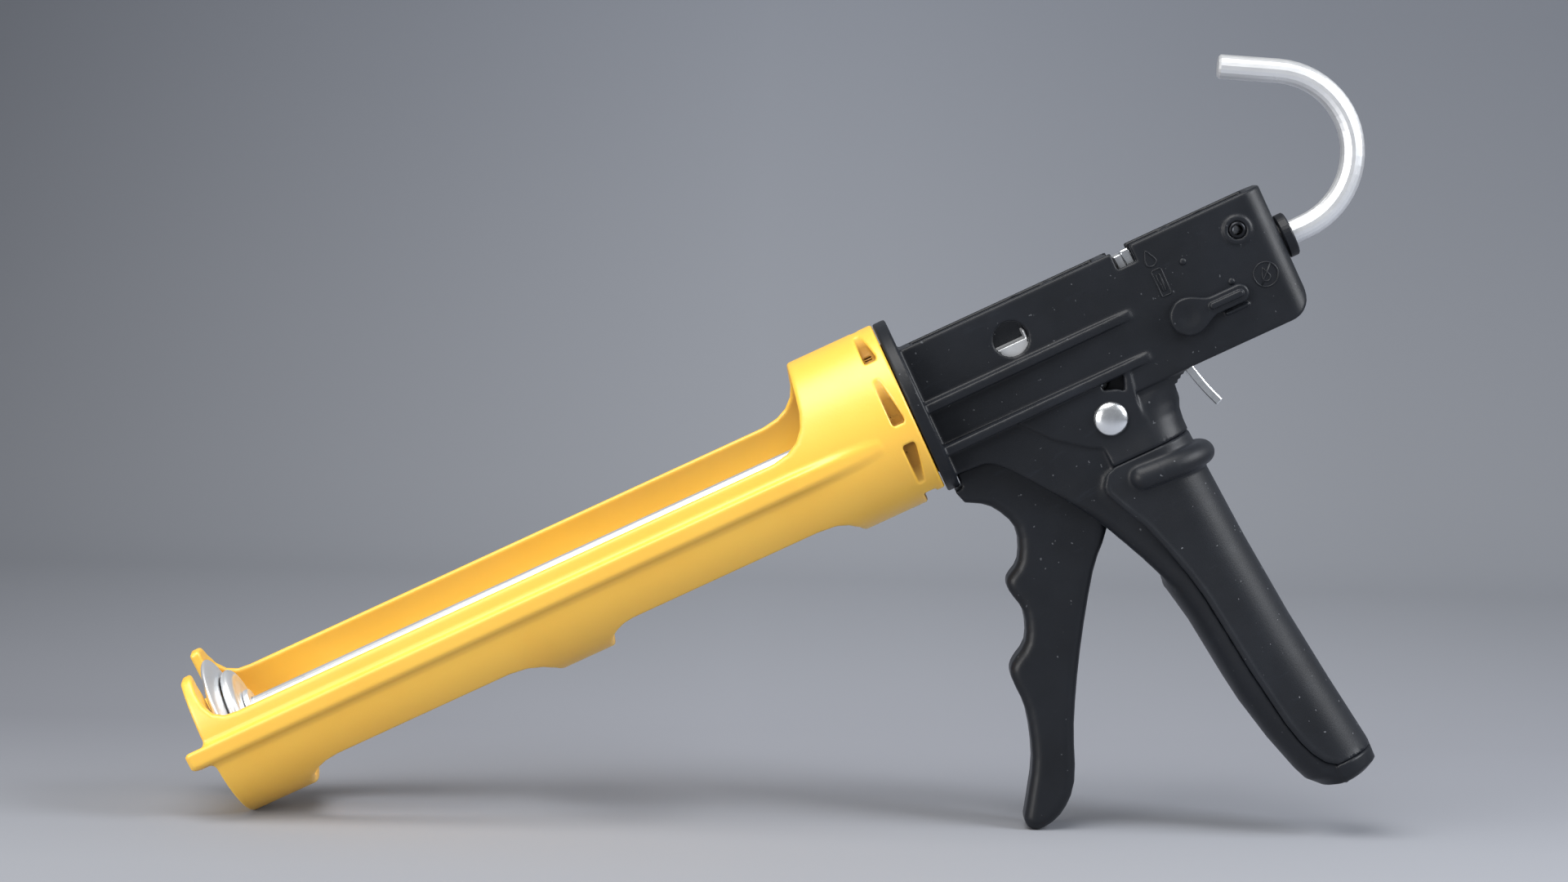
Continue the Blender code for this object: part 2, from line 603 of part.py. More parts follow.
def plate(name, x0, thickness, z0, z1, half, mat):
    """A flat plate across the rod, with rounded corners and a hole for it."""
    c = 2.0
    outline = [(-half + c, z0), (half - c, z0), (half, z0 + c), (half, z1 - c), (half - c, z1),
               (-half + c, z1), (-half, z1 - c), (-half, z0 + c)]
    rings = [[(x, y, z) for y, z in outline] for x in (x0, x0 + thickness)]
    obj = make(name, *rings_to_solid(rings), mat)
    cut(obj, turned(name + "_bore", [(x0 - 2, 0), (x0 - 2, ROD_R + 0.35),
                                     (x0 + thickness + 2, ROD_R + 0.35),
                                     (x0 + thickness + 2, 0)], mat, 24))
    return obj


def spring(name, x0, x1, radius, wire, turns):
    """A round-wire compression spring about the rod, with one end of each coil on its seat."""
    per_turn = 14
    count = int(turns * per_turn)
    path = []
    for i in range(count + 1):
        a = 2 * math.pi * i / per_turn
        x = x0 + wire + (x1 - x0 - 2 * wire) * i / count
        path.append((x, radius * math.cos(a), radius * math.sin(a)))
    return tube(name, path, [wire] * len(path), DARK_STEEL, 6)


def build_drive():
    rear = DRIVE_REAR - DRIVE_PLATE
    plate("drive_plate_rear", rear, DRIVE_PLATE, -14, 13.6, 7.6, STEEL)
    plate("drive_plate_front", rear - GAP - DRIVE_PLATE, DRIVE_PLATE, -14, 13.6, 7.6, STEEL)
    spring("drive_spring", 44.9, rear - GAP - DRIVE_PLATE - GAP, 6.4, 0.6, 4.5)
    spring("brake_spring", 86.0, 107.6, 6.2, 0.7, 5.5)

    foot, lip = 4.7, 0.8
    profile = [(30.6, foot), (41.4, foot), (41.4, foot + 4.6), (40.9, foot + 5.2),
               (41.4 - lip, foot + 4.2), (41.4 - lip, foot + lip), (30.6, foot + lip)]
    prism("cutter_blade", profile, -8.3, 8.3, STEEL)


def build_brake():
    """Two gripping plates that lean back from the top notch; the rear one ends in the tab."""
    x0, _, z0 = BRAKE_TOP
    lean = math.tan(math.radians(BRAKE_LEAN))

    def line(z, offset):
        return (x0 + offset + lean * (z0 - z), z)

    half = BRAKE_PLATE / 2
    top = z0 + 0.6
    tail = [line(top, half), line(-26, half)]
    tail += smooth([line(-26, half), (88.2, -33.2), (90.5, -39.5)], 3)[1:]
    tail += smooth([(88.0, -40.3), (85.6, -33.8), line(-26, -half)], 3)
    tail += [line(top, -half)]
    brake = prism("brake_plate", tail, -6.3, 6.3, STEEL, pivot=BRAKE_TOP)
    front = -half - GAP
    catch_outline = [line(top - 0.8, front), line(top - 0.8, front - 2.6), line(-14, front - 2.6),
                     line(-14, front)]
    catch = prism("catch_plate", catch_outline, -7.4, 7.4, STEEL, pivot=BRAKE_TOP)
    for obj in (brake, catch):
        hole = turned(obj.name + "_bore", [(70, 0), (70, ROD_R + 1.0), (95, ROD_R + 1.0), (95, 0)],
                      STEEL, 24, pivot=BRAKE_TOP)
        cut(obj, hole)
        bevel(obj, 0.3, 1)


# ---------------------------------------------------------------- selector, pins, bushes

def build_selector():
    sx, _, sz = SELECTOR
    y_face = -BODY_HALF - GAP
    tip = sx + LEVER_TIP - 3.0
    outline = circle(sx, sz, LEVER_R, 20, 50, 310)
    outline += smooth([(sx + 6.6, sz - 3.6), (sx + 9.0, sz - 3.0), (sx + 12, sz - 3.0)], 2)
    outline += circle(tip, sz, 3.0, 9, -90, 90)
    outline += smooth([(sx + 12, sz + 3.0), (sx + 9.0, sz + 3.0), (sx + 6.6, sz + 3.6)], 2)
    lever = prism("selector_lever", outline, y_face - 2.8, y_face, BLACK, pivot=SELECTOR)
    bevel(lever, 0.6)
    finger = circle(sx + 8.4, sz, 1.1, 7, 90, 270) + circle(sx + 18.0, sz, 1.1, 7, -90, 90)
    rib = prism("finger_rib", finger, y_face - 4.0, y_face - 1, BLACK, pivot=SELECTOR)
    bevel(rib, 0.4, 1)
    add(lever, rib)

    shaft = disc("selector_shaft", sx, sz, 2.3, -BODY_HALF, BODY_HALF + 1.7, STEEL, 20,
                 pivot=SELECTOR)
    cam = circle(sx, sz, 2.3, 9, -80, 80) + [(sx - 3.0, sz + 2.2), (sx - 5.0, sz + 1.2),
                                             (sx - 5.0, sz - 1.2), (sx - 3.0, sz - 2.2)]
    add(shaft, prism("cam_lobe", cam, -7.6, 7.6, STEEL, pivot=SELECTOR))
    clip = disc("selector_clip", sx, sz, 4.6, BODY_HALF + GAP, BODY_HALF + GAP + 1.0, STEEL, 24,
                pivot=SELECTOR)
    cut(clip, disc("selector_clip_bore", sx, sz, 2.55, 5, 30, STEEL, 20, pivot=SELECTOR))


def build_pins_and_bushes():
    x, z = REAR_PIN
    pin = disc("rear_pin", x, z, 2.6, -12.8, 12.8, DARK_STEEL, 24, pivot=(x, 0, z))
    cut(pin, disc("rear_pin_hollow", x, z, 1.7, -20, 20, DARK_STEEL, 20, pivot=(x, 0, z)))
    bore = ROD_R + 0.3
    rear = [(124.3, bore), (124.3, 5.4), (BODY_REAR + GAP, 5.4), (BODY_REAR + GAP, 7.0),
            (130.4, 7.4), (132.9, 7.4), (133.4, 6.9), (133.4, bore)]
    turned("rear_bushing", rear, BLACK, 40)
    front = [(2.4, bore), (2.4, 6.1), (-12.7, 6.1), (-12.7, 9.0), (-13.8, 9.0), (-14.2, 8.6),
             (-14.2, bore)]
    turned("front_bushing", front, BLACK, 40)


# ---------------------------------------------------------------- standing on the floor

def lowest_line(cradle, trigger):
    """The tilt that rests the cradle's front foot and the trigger's tip on one floor."""
    graph = bpy.context.evaluated_depsgraph_get()

    def side_points(obj):
        evaluated = obj.evaluated_get(graph)
        return [evaluated.matrix_world @ v.co for v in evaluated.data.vertices]

    foot = side_points(cradle)
    tips = side_points(trigger)
    tilt = math.radians(25.0)
    for _ in range(4):
        def drop(p):
            return p.x * math.sin(tilt) + p.z * math.cos(tilt)
        heel = min(foot, key=drop)
        toe = min(tips, key=drop)
        tilt = math.atan2(heel.z - toe.z, toe.x - heel.x)
    return tilt


cradle = build_cradle()
frame = build_frame()
hollow_frame(frame)
build_sleeve()
build_rod()
build_piston()
build_trigger()
build_drive()
build_brake()
build_selector()
build_pins_and_bushes()

bpy.context.view_layer.update()
tilt = lowest_line(cradle, bpy.data.objects["trigger"])
gun.rotation_euler = (0.0, -tilt, 0.0)
bpy.context.view_layer.update()

corners = []
graph = bpy.context.evaluated_depsgraph_get()
for obj in bpy.data.objects:
    if obj.type == "MESH" and not obj.hide_render:
        evaluated = obj.evaluated_get(graph)
        corners.extend(evaluated.matrix_world @ v.co for v in evaluated.data.vertices)
low = Vector([min(c[i] for c in corners) for i in range(3)])
high = Vector([max(c[i] for c in corners) for i in range(3)])
gun.location = (-(low.x + high.x) / 2, -(low.y + high.y) / 2, -low.z)
bpy.context.view_layer.update()
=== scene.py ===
import json
import math

import bpy
import numpy as np
from mathutils import Matrix, Vector


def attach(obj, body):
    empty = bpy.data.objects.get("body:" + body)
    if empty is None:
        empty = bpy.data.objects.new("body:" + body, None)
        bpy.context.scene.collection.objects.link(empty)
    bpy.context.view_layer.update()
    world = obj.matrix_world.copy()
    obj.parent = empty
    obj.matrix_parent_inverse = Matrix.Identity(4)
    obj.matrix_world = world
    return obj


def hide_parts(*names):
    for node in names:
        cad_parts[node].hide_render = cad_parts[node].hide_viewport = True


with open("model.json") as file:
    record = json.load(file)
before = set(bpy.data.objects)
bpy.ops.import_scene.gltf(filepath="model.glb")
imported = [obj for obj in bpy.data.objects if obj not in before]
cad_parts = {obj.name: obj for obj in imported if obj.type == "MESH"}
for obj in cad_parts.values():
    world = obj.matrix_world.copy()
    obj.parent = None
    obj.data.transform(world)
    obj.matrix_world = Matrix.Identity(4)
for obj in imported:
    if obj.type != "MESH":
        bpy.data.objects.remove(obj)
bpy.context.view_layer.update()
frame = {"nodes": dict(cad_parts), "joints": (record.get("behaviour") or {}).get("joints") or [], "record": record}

MM = 0.001


# ---------------------------------------------------------------- the gun's own frame

# The cradle spins about the push rod's axis, which runs rearwards and up through ORIGIN.
# The shapes below are written in millimetres about that axis, as the CAD's are.
spin = [j for j in frame["joints"] if j["name"] == "cradle_spin"][0]
AXIS = Vector(spin["axis"]).normalized()
ORIGIN = Vector(spin["pos_m"])
TILT = math.atan2(AXIS.z, AXIS.x)
GUN = Matrix.Translation(ORIGIN) @ Matrix.Rotation(-TILT, 4, "Y") @ Matrix.Scale(MM, 4)
CRADLE_TURN = math.radians(9.4)
CRADLE = GUN @ Matrix.Rotation(CRADLE_TURN, 4, "X")


# ---------------------------------------------------------------- solids as distance fields

def both(a, b, r=0.0):
    """The part common to two solids, with its new edges rounded to radius r."""
    if np.ndim(r) == 0 and r == 0.0:
        return np.maximum(a, b)
    u = np.maximum(a + r, 0.0)
    v = np.maximum(b + r, 0.0)
    return np.minimum(np.maximum(a, b), -r) + np.hypot(u, v)


def either(a, b, r=0.0):
    """Two solids joined, with a fillet of radius r between them."""
    if np.ndim(r) == 0 and r == 0.0:
        return np.minimum(a, b)
    u = np.maximum(r - a, 0.0)
    v = np.maximum(r - b, 0.0)
    return np.maximum(np.minimum(a, b), r) - np.hypot(u, v)


def without(a, b, r=0.0):
    """The first solid with the second cut out of it."""
    return both(a, -b, r)


def between(v, low, high):
    """The slab from low to high."""
    return np.abs(v - (low + high) / 2) - (high - low) / 2


def polygon(u, v, points):
    """The distance to a closed outline in one plane, negative inside."""
    nearest = None
    inside = None
    for (u0, v0), (u1, v1) in zip(points, points[1:] + points[:1]):
        eu, ev = u1 - u0, v1 - v0
        wu, wv = u - u0, v - v0
        t = np.clip((wu * eu + wv * ev) / (eu * eu + ev * ev), 0.0, 1.0)
        d = (wu - eu * t) ** 2 + (wv - ev * t) ** 2
        above, below, left = v >= v0, v < v1, eu * wv > ev * wu
        flip = (above & below & left) | (~above & ~below & ~left)
        nearest = d if nearest is None else np.minimum(nearest, d)
        inside = flip if inside is None else inside ^ flip
    return np.sqrt(nearest) * np.where(inside, -1.0, 1.0)


def round_hole(x, z, cx, cz, r):
    """The distance to a cylinder along Y."""
    return np.hypot(x - cx, z - cz) - r


def smooth(points, steps=4):
    """A Catmull-Rom curve through the points, with both its ends."""
    out = []
    for i in range(len(points) - 1):
        p0, p3 = points[max(i - 1, 0)], points[min(i + 2, len(points) - 1)]
        p1, p2 = points[i], points[i + 1]
        for s in range(steps):
            t = s / steps
            out.append(tuple(
                0.5 * (2 * b + (c - a) * t + (2 * a - 5 * b + 4 * c - d) * t * t
                       + (3 * b - a - 3 * c + d) * t ** 3)
                for a, b, c, d in zip(p0, p1, p2, p3)))
    out.append(tuple(points[-1]))
    return out


def arc(cx, cz, r, n, a0, a1):
    """Points on a circle, from angle a0 to angle a1 in degrees."""
    steps = [math.radians(a0 + (a1 - a0) * i / (n - 1)) for i in range(n)]
    return [(cx + r * math.cos(a), cz + r * math.sin(a)) for a in steps]


def grid(*spans):
    """Grid lines from (end, step) pairs after a start value."""
    lines = [spans[0]]
    for end, step in spans[1:]:
        step = step * 1.0
        count = max(2, round((end - lines[-1]) / step))
        lines.extend(np.linspace(lines[-1], end, count + 1)[1:])
    return np.array(lines)


def skin(values, axes):
    """Points and quads of the zero level of a field sampled on a grid."""
    inside = values < 0
    cells = tuple(n - 1 for n in values.shape)
    corners = [(i, j, k) for i in (0, 1) for j in (0, 1) for k in (0, 1)]
    total = np.zeros(cells, np.int8)
    for i, j, k in corners:
        total += inside[i:i + cells[0], j:j + cells[1], k:k + cells[2]]
    at = np.argwhere((total > 0) & (total < 8))
    place = np.zeros((len(at), 3))
    hits = np.zeros(len(at))
    for a in corners:
        for axis in range(3):
            if a[axis] == 1:
                continue
            b = tuple(c + (n == axis) for n, c in enumerate(a))
            fa = values[tuple((at + a).T)]
            fb = values[tuple((at + b).T)]
            crossing = (fa < 0) != (fb < 0)
            t = np.where(crossing, fa / np.where(crossing, fa - fb, 1.0), 0.0)
            for n in range(3):
                place[:, n] += np.where(crossing, a[n] + (t if n == axis else 0.0), 0.0)
            hits += crossing
    place = at + place / hits[:, None]
    points = np.stack([np.interp(place[:, n], np.arange(len(axes[n])), axes[n])
                       for n in range(3)], 1)
    index = np.full(cells, -1, np.int32)
    index[tuple(at.T)] = np.arange(len(at))
    quads = []
    for axis in range(3):
        u, v = (axis + 1) % 3, (axis + 2) % 3
        low = [slice(0, None)] * 3
        high = [slice(0, None)] * 3
        low[axis], high[axis] = slice(0, -1), slice(1, None)
        first, second = inside[tuple(low)], inside[tuple(high)]
        edge = np.argwhere(first != second)
        keep = (edge[:, u] > 0) & (edge[:, v] > 0) & (edge[:, u] < cells[u]) & (edge[:, v] < cells[v])
        edge = edge[keep]
        outward = first[tuple(edge.T)]
        ring = []
        for du, dv in ((-1, -1), (0, -1), (0, 0), (-1, 0)):
            c = edge.copy()
            c[:, u] += du
            c[:, v] += dv
            ring.append(index[tuple(c.T)])
        ring = np.stack(ring, 1)
        ring[~outward] = ring[~outward][:, ::-1]
        quads.append(ring)
    return points, np.concatenate(quads)


def settle(points, solid, rounds=3, step=0.02, reach=0.35):
    """Moves the points onto the field's zero level."""
    for _ in range(rounds):
        x, y, z = points.T
        here = solid(x, y, z)
        slope = np.stack([solid(x + step, y, z) - here, solid(x, y + step, z) - here,
                          solid(x, y, z + step) - here], 1) / step
        size = np.maximum((slope ** 2).sum(1), 0.2)
        points = points - np.clip((here / size)[:, None] * slope, -reach, reach)
    return points


def make(name, points, faces, material, matrix, body, replaced=(), sharp=None):
    """A piece from points in millimetres, riding on a body; sharp is an edge angle in degrees."""
    world = np.asarray(points, float) @ np.array(matrix.to_3x3()).T + np.array(matrix.translation)
    mesh = bpy.data.meshes.new(name)
    mesh.from_pydata(world.tolist(), [], faces)
    mesh.materials.append(material)
    mesh.shade_smooth()
    if sharp is not None:
        mesh.set_sharp_from_angle(angle=math.radians(sharp))
    obj = bpy.data.objects.new(name, mesh)
    bpy.context.scene.collection.objects.link(obj)
    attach(obj, body)
    if replaced:
        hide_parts(*replaced)
    return obj


def moulding(name, solid, axes, material, matrix, body, replaced=()):
    """A piece from a distance field of x, y and z."""
    x, y, z = axes
    values = np.broadcast_to(solid(x[:, None, None], y[None, :, None], z[None, None, :]),
                             (len(x), len(y), len(z)))
    points, quads = skin(values, axes)
    points = settle(points, solid)
    return make(name, points, quads.tolist(), material, matrix, body, replaced)


def inward(points, faces):
    """True when a closed mesh's faces look into it: its signed volume is negative."""
    total = 0.0
    for face in faces:
        a, *rest = (np.array(points[i]) for i in face)
        for b, c in zip(rest, rest[1:]):
            total += float(np.dot(a, np.cross(b, c)))
    return total < 0.0


def lathe(name, profile, material, matrix, body, replaced=(), segments=96, axis="X",
          centre=(0.0, 0.0, 0.0), sharp=40):
    """A closed profile of (along, radius) turned about an axis through centre."""
    points = []
    rows = []
    for along, r in profile:
        count = 1 if r == 0 else segments
        rows.append(list(range(len(points), len(points) + count)))
        for i in range(count):
            a = 2 * math.pi * i / segments
            u, v = r * math.cos(a), r * math.sin(a)
            offset = (along, u, v) if axis == "X" else (v, along, u)
            points.append(tuple(c + o for c, o in zip(centre, offset)))
    faces = []
    for i, row in enumerate(rows):
        nxt = rows[(i + 1) % len(rows)]
        if len(row) == 1 and len(nxt) == 1:
            continue
        for j in range(segments):
            k = (j + 1) % segments
            quad = [row[j % len(row)], row[k % len(row)], nxt[k % len(nxt)], nxt[j % len(nxt)]]
            faces.append(tuple(dict.fromkeys(quad))[::-1])
    if inward(points, faces):
        faces = [face[::-1] for face in faces]
    return make(name, points, faces, material, matrix, body, replaced, sharp)


# ---------------------------------------------------------------- material helpers

class Nodes:
    """A short way to write one material's node tree."""

    def __init__(self, name):
        self.material = bpy.data.materials.new(name)
        self.material.use_nodes = True
        self.tree = self.material.node_tree
        self.shader = self.tree.nodes["Principled BSDF"]

    def node(self, kind, **settings):
        node = self.tree.nodes.new(kind)
        for key, value in settings.items():
            if hasattr(node, key):
                setattr(node, key, value)
            else:
                self.feed(node.inputs[key.replace("_", " ")], value)
        return node

    def feed(self, socket, value):
        if isinstance(value, bpy.types.NodeSocket):
            self.tree.links.new(value, socket)
        elif isinstance(value, bpy.types.Node):
            self.tree.links.new(value.outputs[0], socket)
        else:
            socket.default_value = value

    def place(self, scale=(1, 1, 1)):
        """Object coordinates turned so that X runs along the push rod."""
        coords = self.node("ShaderNodeTexCoord")
        turned = self.node("ShaderNodeVectorRotate", rotation_type="Y_AXIS")
        self.feed(turned.inputs["Vector"], coords.outputs["Object"])
        turned.inputs["Angle"].default_value = TILT
        mapping = self.node("ShaderNodeMapping")
        self.feed(mapping.inputs["Vector"], turned)
        mapping.inputs["Scale"].default_value = scale
        return mapping.outputs[0]

    def noise(self, scale, detail=3.0, roughness=0.55, stretch=(1, 1, 1), distortion=0.0):
        node = self.node("ShaderNodeTexNoise", Scale=scale, Detail=detail,
                         Roughness=roughness, Distortion=distortion)
        self.feed(node.inputs["Vector"], self.place(stretch))
        return node.outputs["Fac"]

    def about_rod(self):
        """Distance along the push rod from the gun's origin, and distance from its axis."""
        coords = self.node("ShaderNodeTexCoord")
        turned = self.node("ShaderNodeVectorRotate", rotation_type="Y_AXIS")
        self.feed(turned.inputs["Vector"], coords.outputs["Object"])
        turned.inputs["Center"].default_value = ORIGIN
        turned.inputs["Angle"].default_value = TILT
        local = self.node("ShaderNodeVectorMath", operation="SUBTRACT")
        self.feed(local.inputs[0], turned)
        local.inputs[1].default_value = ORIGIN
        split = self.node("ShaderNodeSeparateXYZ")
        self.feed(split.inputs[0], local)
        across = self.node("ShaderNodeCombineXYZ")
        self.feed(across.inputs["Y"], split.outputs["Y"])
        self.feed(across.inputs["Z"], split.outputs["Z"])
        length = self.node("ShaderNodeVectorMath", operation="LENGTH")
        self.feed(length.inputs[0], across)
        return split.outputs["X"], length.outputs["Value"]

    def ramp(self, value, low, high, from_low=0.0, from_high=1.0):
        node = self.node("ShaderNodeMapRange", clamp=True)
        for key, number in (("From Min", from_low), ("From Max", from_high),
                            ("To Min", low), ("To Max", high)):
            node.inputs[key].default_value = number
        self.feed(node.inputs["Value"], value)
        return node.outputs["Result"]

    def math(self, operation, a, b=0.0):
        node = self.node("ShaderNodeMath", operation=operation)
        self.feed(node.inputs[0], a)
        self.feed(node.inputs[1], b)
        return node.outputs[0]

    def mix(self, factor, a, b, blend="MIX"):
        node = self.node("ShaderNodeMix", data_type="RGBA", blend_type=blend)
        self.feed(node.inputs[0], factor)
        self.feed(node.inputs[6], a)
        self.feed(node.inputs[7], b)
        return node.outputs[2]

    def bump(self, layers):
        """Stacks (height, strength, distance in metres) layers into one normal."""
        normal = None
        for height, strength, distance in layers:
            node = self.node("ShaderNodeBump", Strength=strength, Distance=distance)
            self.feed(node.inputs["Height"], height)
            if normal is not None:
                self.feed(node.inputs["Normal"], normal)
            normal = node.outputs[0]
        self.feed(self.shader.inputs["Normal"], normal)

    def set(self, **values):
        for key, value in values.items():
            self.feed(self.shader.inputs[key.replace("_", " ")], value)


def rgb(r, g, b):
    return (r, g, b, 1.0)


# ---------------------------------------------------------------- materials

# Paper colours with the studio's light and shade painted in: lighter at the bend, darker under the gun, up the
# wall and out to the sides
PAPER_FRONT = (0.290, 0.302, 0.333)
PAPER_UNDER_PAINTED_SHADE = (0.280, 0.291, 0.326)
PAPER_BEND_PAINTED_LIGHT = (0.355, 0.372, 0.412)
PAPER_WALL_PAINTED_SHADE = (0.276, 0.296, 0.340)
PAPER_PAINTED_SHADE = (0.030, 0.034, 0.042)
PAPER_CLOUD = (0.40, 0.41, 0.44)
RESIN, RESIN_LIGHT = (0.95, 0.535, 0.055), (0.97, 0.570, 0.068)
RESIN_FLOW = (0.92, 0.485, 0.045)
RESIN_RUBBED = (0.98, 0.66, 0.20)
# painted shade for the floors of the collar's pockets
RESIN_POCKET_SHADE = (0.34, 0.155, 0.004)
DUST = (0.22, 0.23, 0.25)
COMPOSITE = (0.0050, 0.0062, 0.0088)
COMPOSITE_WORN = (0.0082, 0.0100, 0.0140)
RUBBER = (0.0058, 0.0070, 0.0096)
RUBBER_WORN = (0.0098, 0.0117, 0.0158)

# Where shade is painted into the collar's pockets, in metres: how far along the rod's axis, and how far from it
POCKET_SPAN = (-0.0106, -0.0056)
POCKET_FLOOR, POCKET_RIM = 0.0288, 0.0298


def moulded_yellow():
    """Yellow moulded plastic, with flow marks, rubbed grain and painted shade in the collar's pockets."""
    m = Nodes("moulded_yellow")
    cloud = m.ramp(m.noise(26, 3), 0.0, 1.0, 0.3, 0.7)
    colour = m.mix(cloud, rgb(*RESIN), rgb(*RESIN_LIGHT))
    flow = m.ramp(m.noise(45, 3, 0.5, (0.3, 1, 1)), 0.0, 0.22, 0.5, 0.8)
    colour = m.mix(flow, colour, rgb(*RESIN_FLOW))
    rub = m.ramp(m.noise(420, 5, 0.7), 0.0, 0.18, 0.62, 0.76)
    colour = m.mix(rub, colour, rgb(*RESIN_RUBBED))
    along, radius = m.about_rod()
    in_pockets = m.math("MULTIPLY", m.math("GREATER_THAN", along, POCKET_SPAN[0]),
                        m.math("LESS_THAN", along, POCKET_SPAN[1]))
    # painted shade on the pockets' floors, deepest at the floor; the same mask also roughens them
    sunk = m.math("MULTIPLY", m.ramp(radius, 1.0, 0.0, POCKET_FLOOR, POCKET_RIM), in_pockets)
    colour = m.mix(sunk, colour, rgb(*RESIN_POCKET_SHADE))
    rough = m.math("ADD", m.ramp(m.noise(90, 5, 0.6), 0.36, 0.47), m.math("MULTIPLY", sunk, 0.55))
    m.set(Base_Color=colour, Roughness=rough, Specular_IOR_Level=0.8, Coat_Weight=0.25,
          Coat_Roughness=0.32, Subsurface_Weight=0.10,
          Subsurface_Radius=(0.004, 0.0018, 0.0006), Subsurface_Scale=1.0)
    m.bump([(m.noise(1500, 3, 0.6), 0.16, 0.0002), (m.noise(34, 2), 0.06, 0.002)])
    return m.material


def black_plastic(name, base, light, roughness, grain, grain_strength, specks, sheen):
    """Grained black plastic or rubber, with worn patches and specks of dust."""
    m = Nodes(name)
    cloud = m.ramp(m.noise(40, 4), 0.0, 1.0, 0.3, 0.7)
    colour = m.mix(cloud, rgb(*base), rgb(*light))
    scuff = m.ramp(m.noise(150, 6, 0.72, (0.35, 1, 1.3), 0.6), 0.0, 0.35, 0.58, 0.72)
    colour = m.mix(scuff, colour, rgb(*(c * 2.1 for c in light)))
    dust = m.ramp(m.noise(700, 1, 0.5), 0.0, specks, 0.765, 0.79)
    colour = m.mix(dust, colour, rgb(*DUST))
    rough = m.ramp(m.noise(120, 5, 0.65), roughness - 0.06, roughness + 0.08)
    m.set(Base_Color=colour, Roughness=rough, Specular_IOR_Level=0.32,
          Sheen_Weight=sheen, Sheen_Roughness=0.5)
    m.shader.inputs["Sheen Tint"].default_value = rgb(0.75, 0.82, 1.0)
    m.bump([(m.noise(grain, 3, 0.65), grain_strength, 0.0002), (m.noise(30, 2), 0.08, 0.002)])
    return m.material


def bright_steel(name, colour, roughness, stretch, streak, metallic=1.0, dark=(0.30, 0.31, 0.33)):
    """Plated or drawn steel, with a drawn grain and a few darker stains."""
    m = Nodes(name)
    tone = m.ramp(m.noise(70, 4), 0.0, 0.35, 0.35, 0.75)
    base = m.mix(tone, rgb(*colour), rgb(*(c * 0.82 for c in colour)))
    stain = m.ramp(m.noise(260, 6, 0.7), 0.0, 0.5, 0.62, 0.78)
    base = m.mix(stain, base, rgb(*dark))
    grain = m.noise(700, 4, 0.6, stretch)
    rough = m.math("ADD", m.ramp(grain, roughness - 0.05, roughness + 0.07),
                   m.ramp(m.noise(55, 3), -0.03, 0.05))
    m.set(Base_Color=base, Metallic=metallic, Roughness=rough)
    m.bump([(grain, streak, 0.0001), (m.noise(420, 3), 0.05, 0.0003)])
    return m.material


def backdrop_paint():
    """Grey paper with light and shade painted into its colour: palest where it bends up behind the gun, darker
    under the gun and up the wall, darkest out to the left.
    """
    m = Nodes("studio_paper")
    coords = m.node("ShaderNodeTexCoord")
    split = m.node("ShaderNodeSeparateXYZ")
    m.feed(split.inputs[0], coords.outputs["Object"])
    across, back, up = (split.outputs[axis] for axis in "XYZ")
    # painted shade under the gun and up the wall, painted light where the paper bends up
    colour = m.mix(m.ramp(back, 0.0, 1.0, -0.10, 0.15), rgb(*PAPER_FRONT), rgb(*PAPER_UNDER_PAINTED_SHADE))
    colour = m.mix(m.ramp(back, 0.0, 1.0, 0.20, 0.85), colour, rgb(*PAPER_BEND_PAINTED_LIGHT))
    colour = m.mix(m.ramp(up, 0.0, 1.0, 0.03, 0.33), colour, rgb(*PAPER_WALL_PAINTED_SHADE))
    # painted shade out to both sides, strongest to the left, fading to nothing at the front
    left = m.ramp(across, 0.56, 0.0, -0.54, -0.02)
    right = m.ramp(across, 0.0, 0.12, 0.06, 0.36)
    sides = m.math("MULTIPLY", m.math("ADD", left, right), m.ramp(back, 0.0, 1.0, -0.10, 0.20))
    colour = m.mix(sides, colour, rgb(*PAPER_PAINTED_SHADE))
    tone = m.ramp(m.noise(2.0, 2), 0.0, 0.03, 0.3, 0.7)
    colour = m.mix(tone, colour, rgb(*PAPER_CLOUD))
    m.set(Base_Color=colour, Roughness=0.85, Specular_IOR_Level=0.2)
    m.bump([(m.noise(900, 3, 0.6), 0.05, 0.0002)])
    return m.material


YELLOW = moulded_yellow()
BLACK = black_plastic("black_composite", COMPOSITE, COMPOSITE_WORN, 0.42, 2600, 0.16, 0.3, 0.02)
GRIP = black_plastic("soft_grip", RUBBER, RUBBER_WORN, 0.46, 2000, 0.22, 0.6, 0.05)
TRIGGER = black_plastic("trigger_black", COMPOSITE, COMPOSITE_WORN, 0.40, 2600, 0.14, 0.3, 0.02)
ZINC = bright_steel("zinc_plate", (0.90, 0.92, 0.94), 0.22, (1, 1, 1), 0.06)
ROD = bright_steel("drawn_rod", (0.86, 0.873, 0.89), 0.40, (0.03, 1, 1), 0.12, 0.85)
DULL = bright_steel("galvanised_plate", (0.60, 0.62, 0.65), 0.42, (1, 1, 1), 0.06, 0.9)
PRESSED = bright_steel("pressed_plate", (0.92, 0.94, 0.96), 0.33, (1, 1, 1), 0.05, 0.76)
SPRING = bright_steel("spring_wire", (0.42, 0.42, 0.44), 0.34, (1, 1, 1), 0.08)
DARK_PIN = bright_steel("blackened_pin", (0.035, 0.037, 0.042), 0.38, (1, 1, 1), 0.08, 1.0,
                        (0.06, 0.05, 0.045))
SLOTS = {"yellow_plastic": YELLOW, "black_composite": BLACK, "soft_grip": GRIP,
         "trigger_plastic": TRIGGER, "zinc_steel": ZINC, "rod_steel": ROD,
         "spring_steel": SPRING}


# ---------------------------------------------------------------- CAD nodes' finish

node_slots = {part["node"]: part["material_slot"] for part in frame["record"]["subparts"]}
for name, obj in frame["nodes"].items():
    obj.data.materials.clear()
    obj.data.materials.append(SLOTS[node_slots[name]])
for name in ("piston_nut", "piston_spacer"):
    frame["nodes"][name].data.materials[0] = PRESSED
frame["nodes"]["catch_plate"].data.materials[0] = DULL


# ---------------------------------------------------------------- cradle

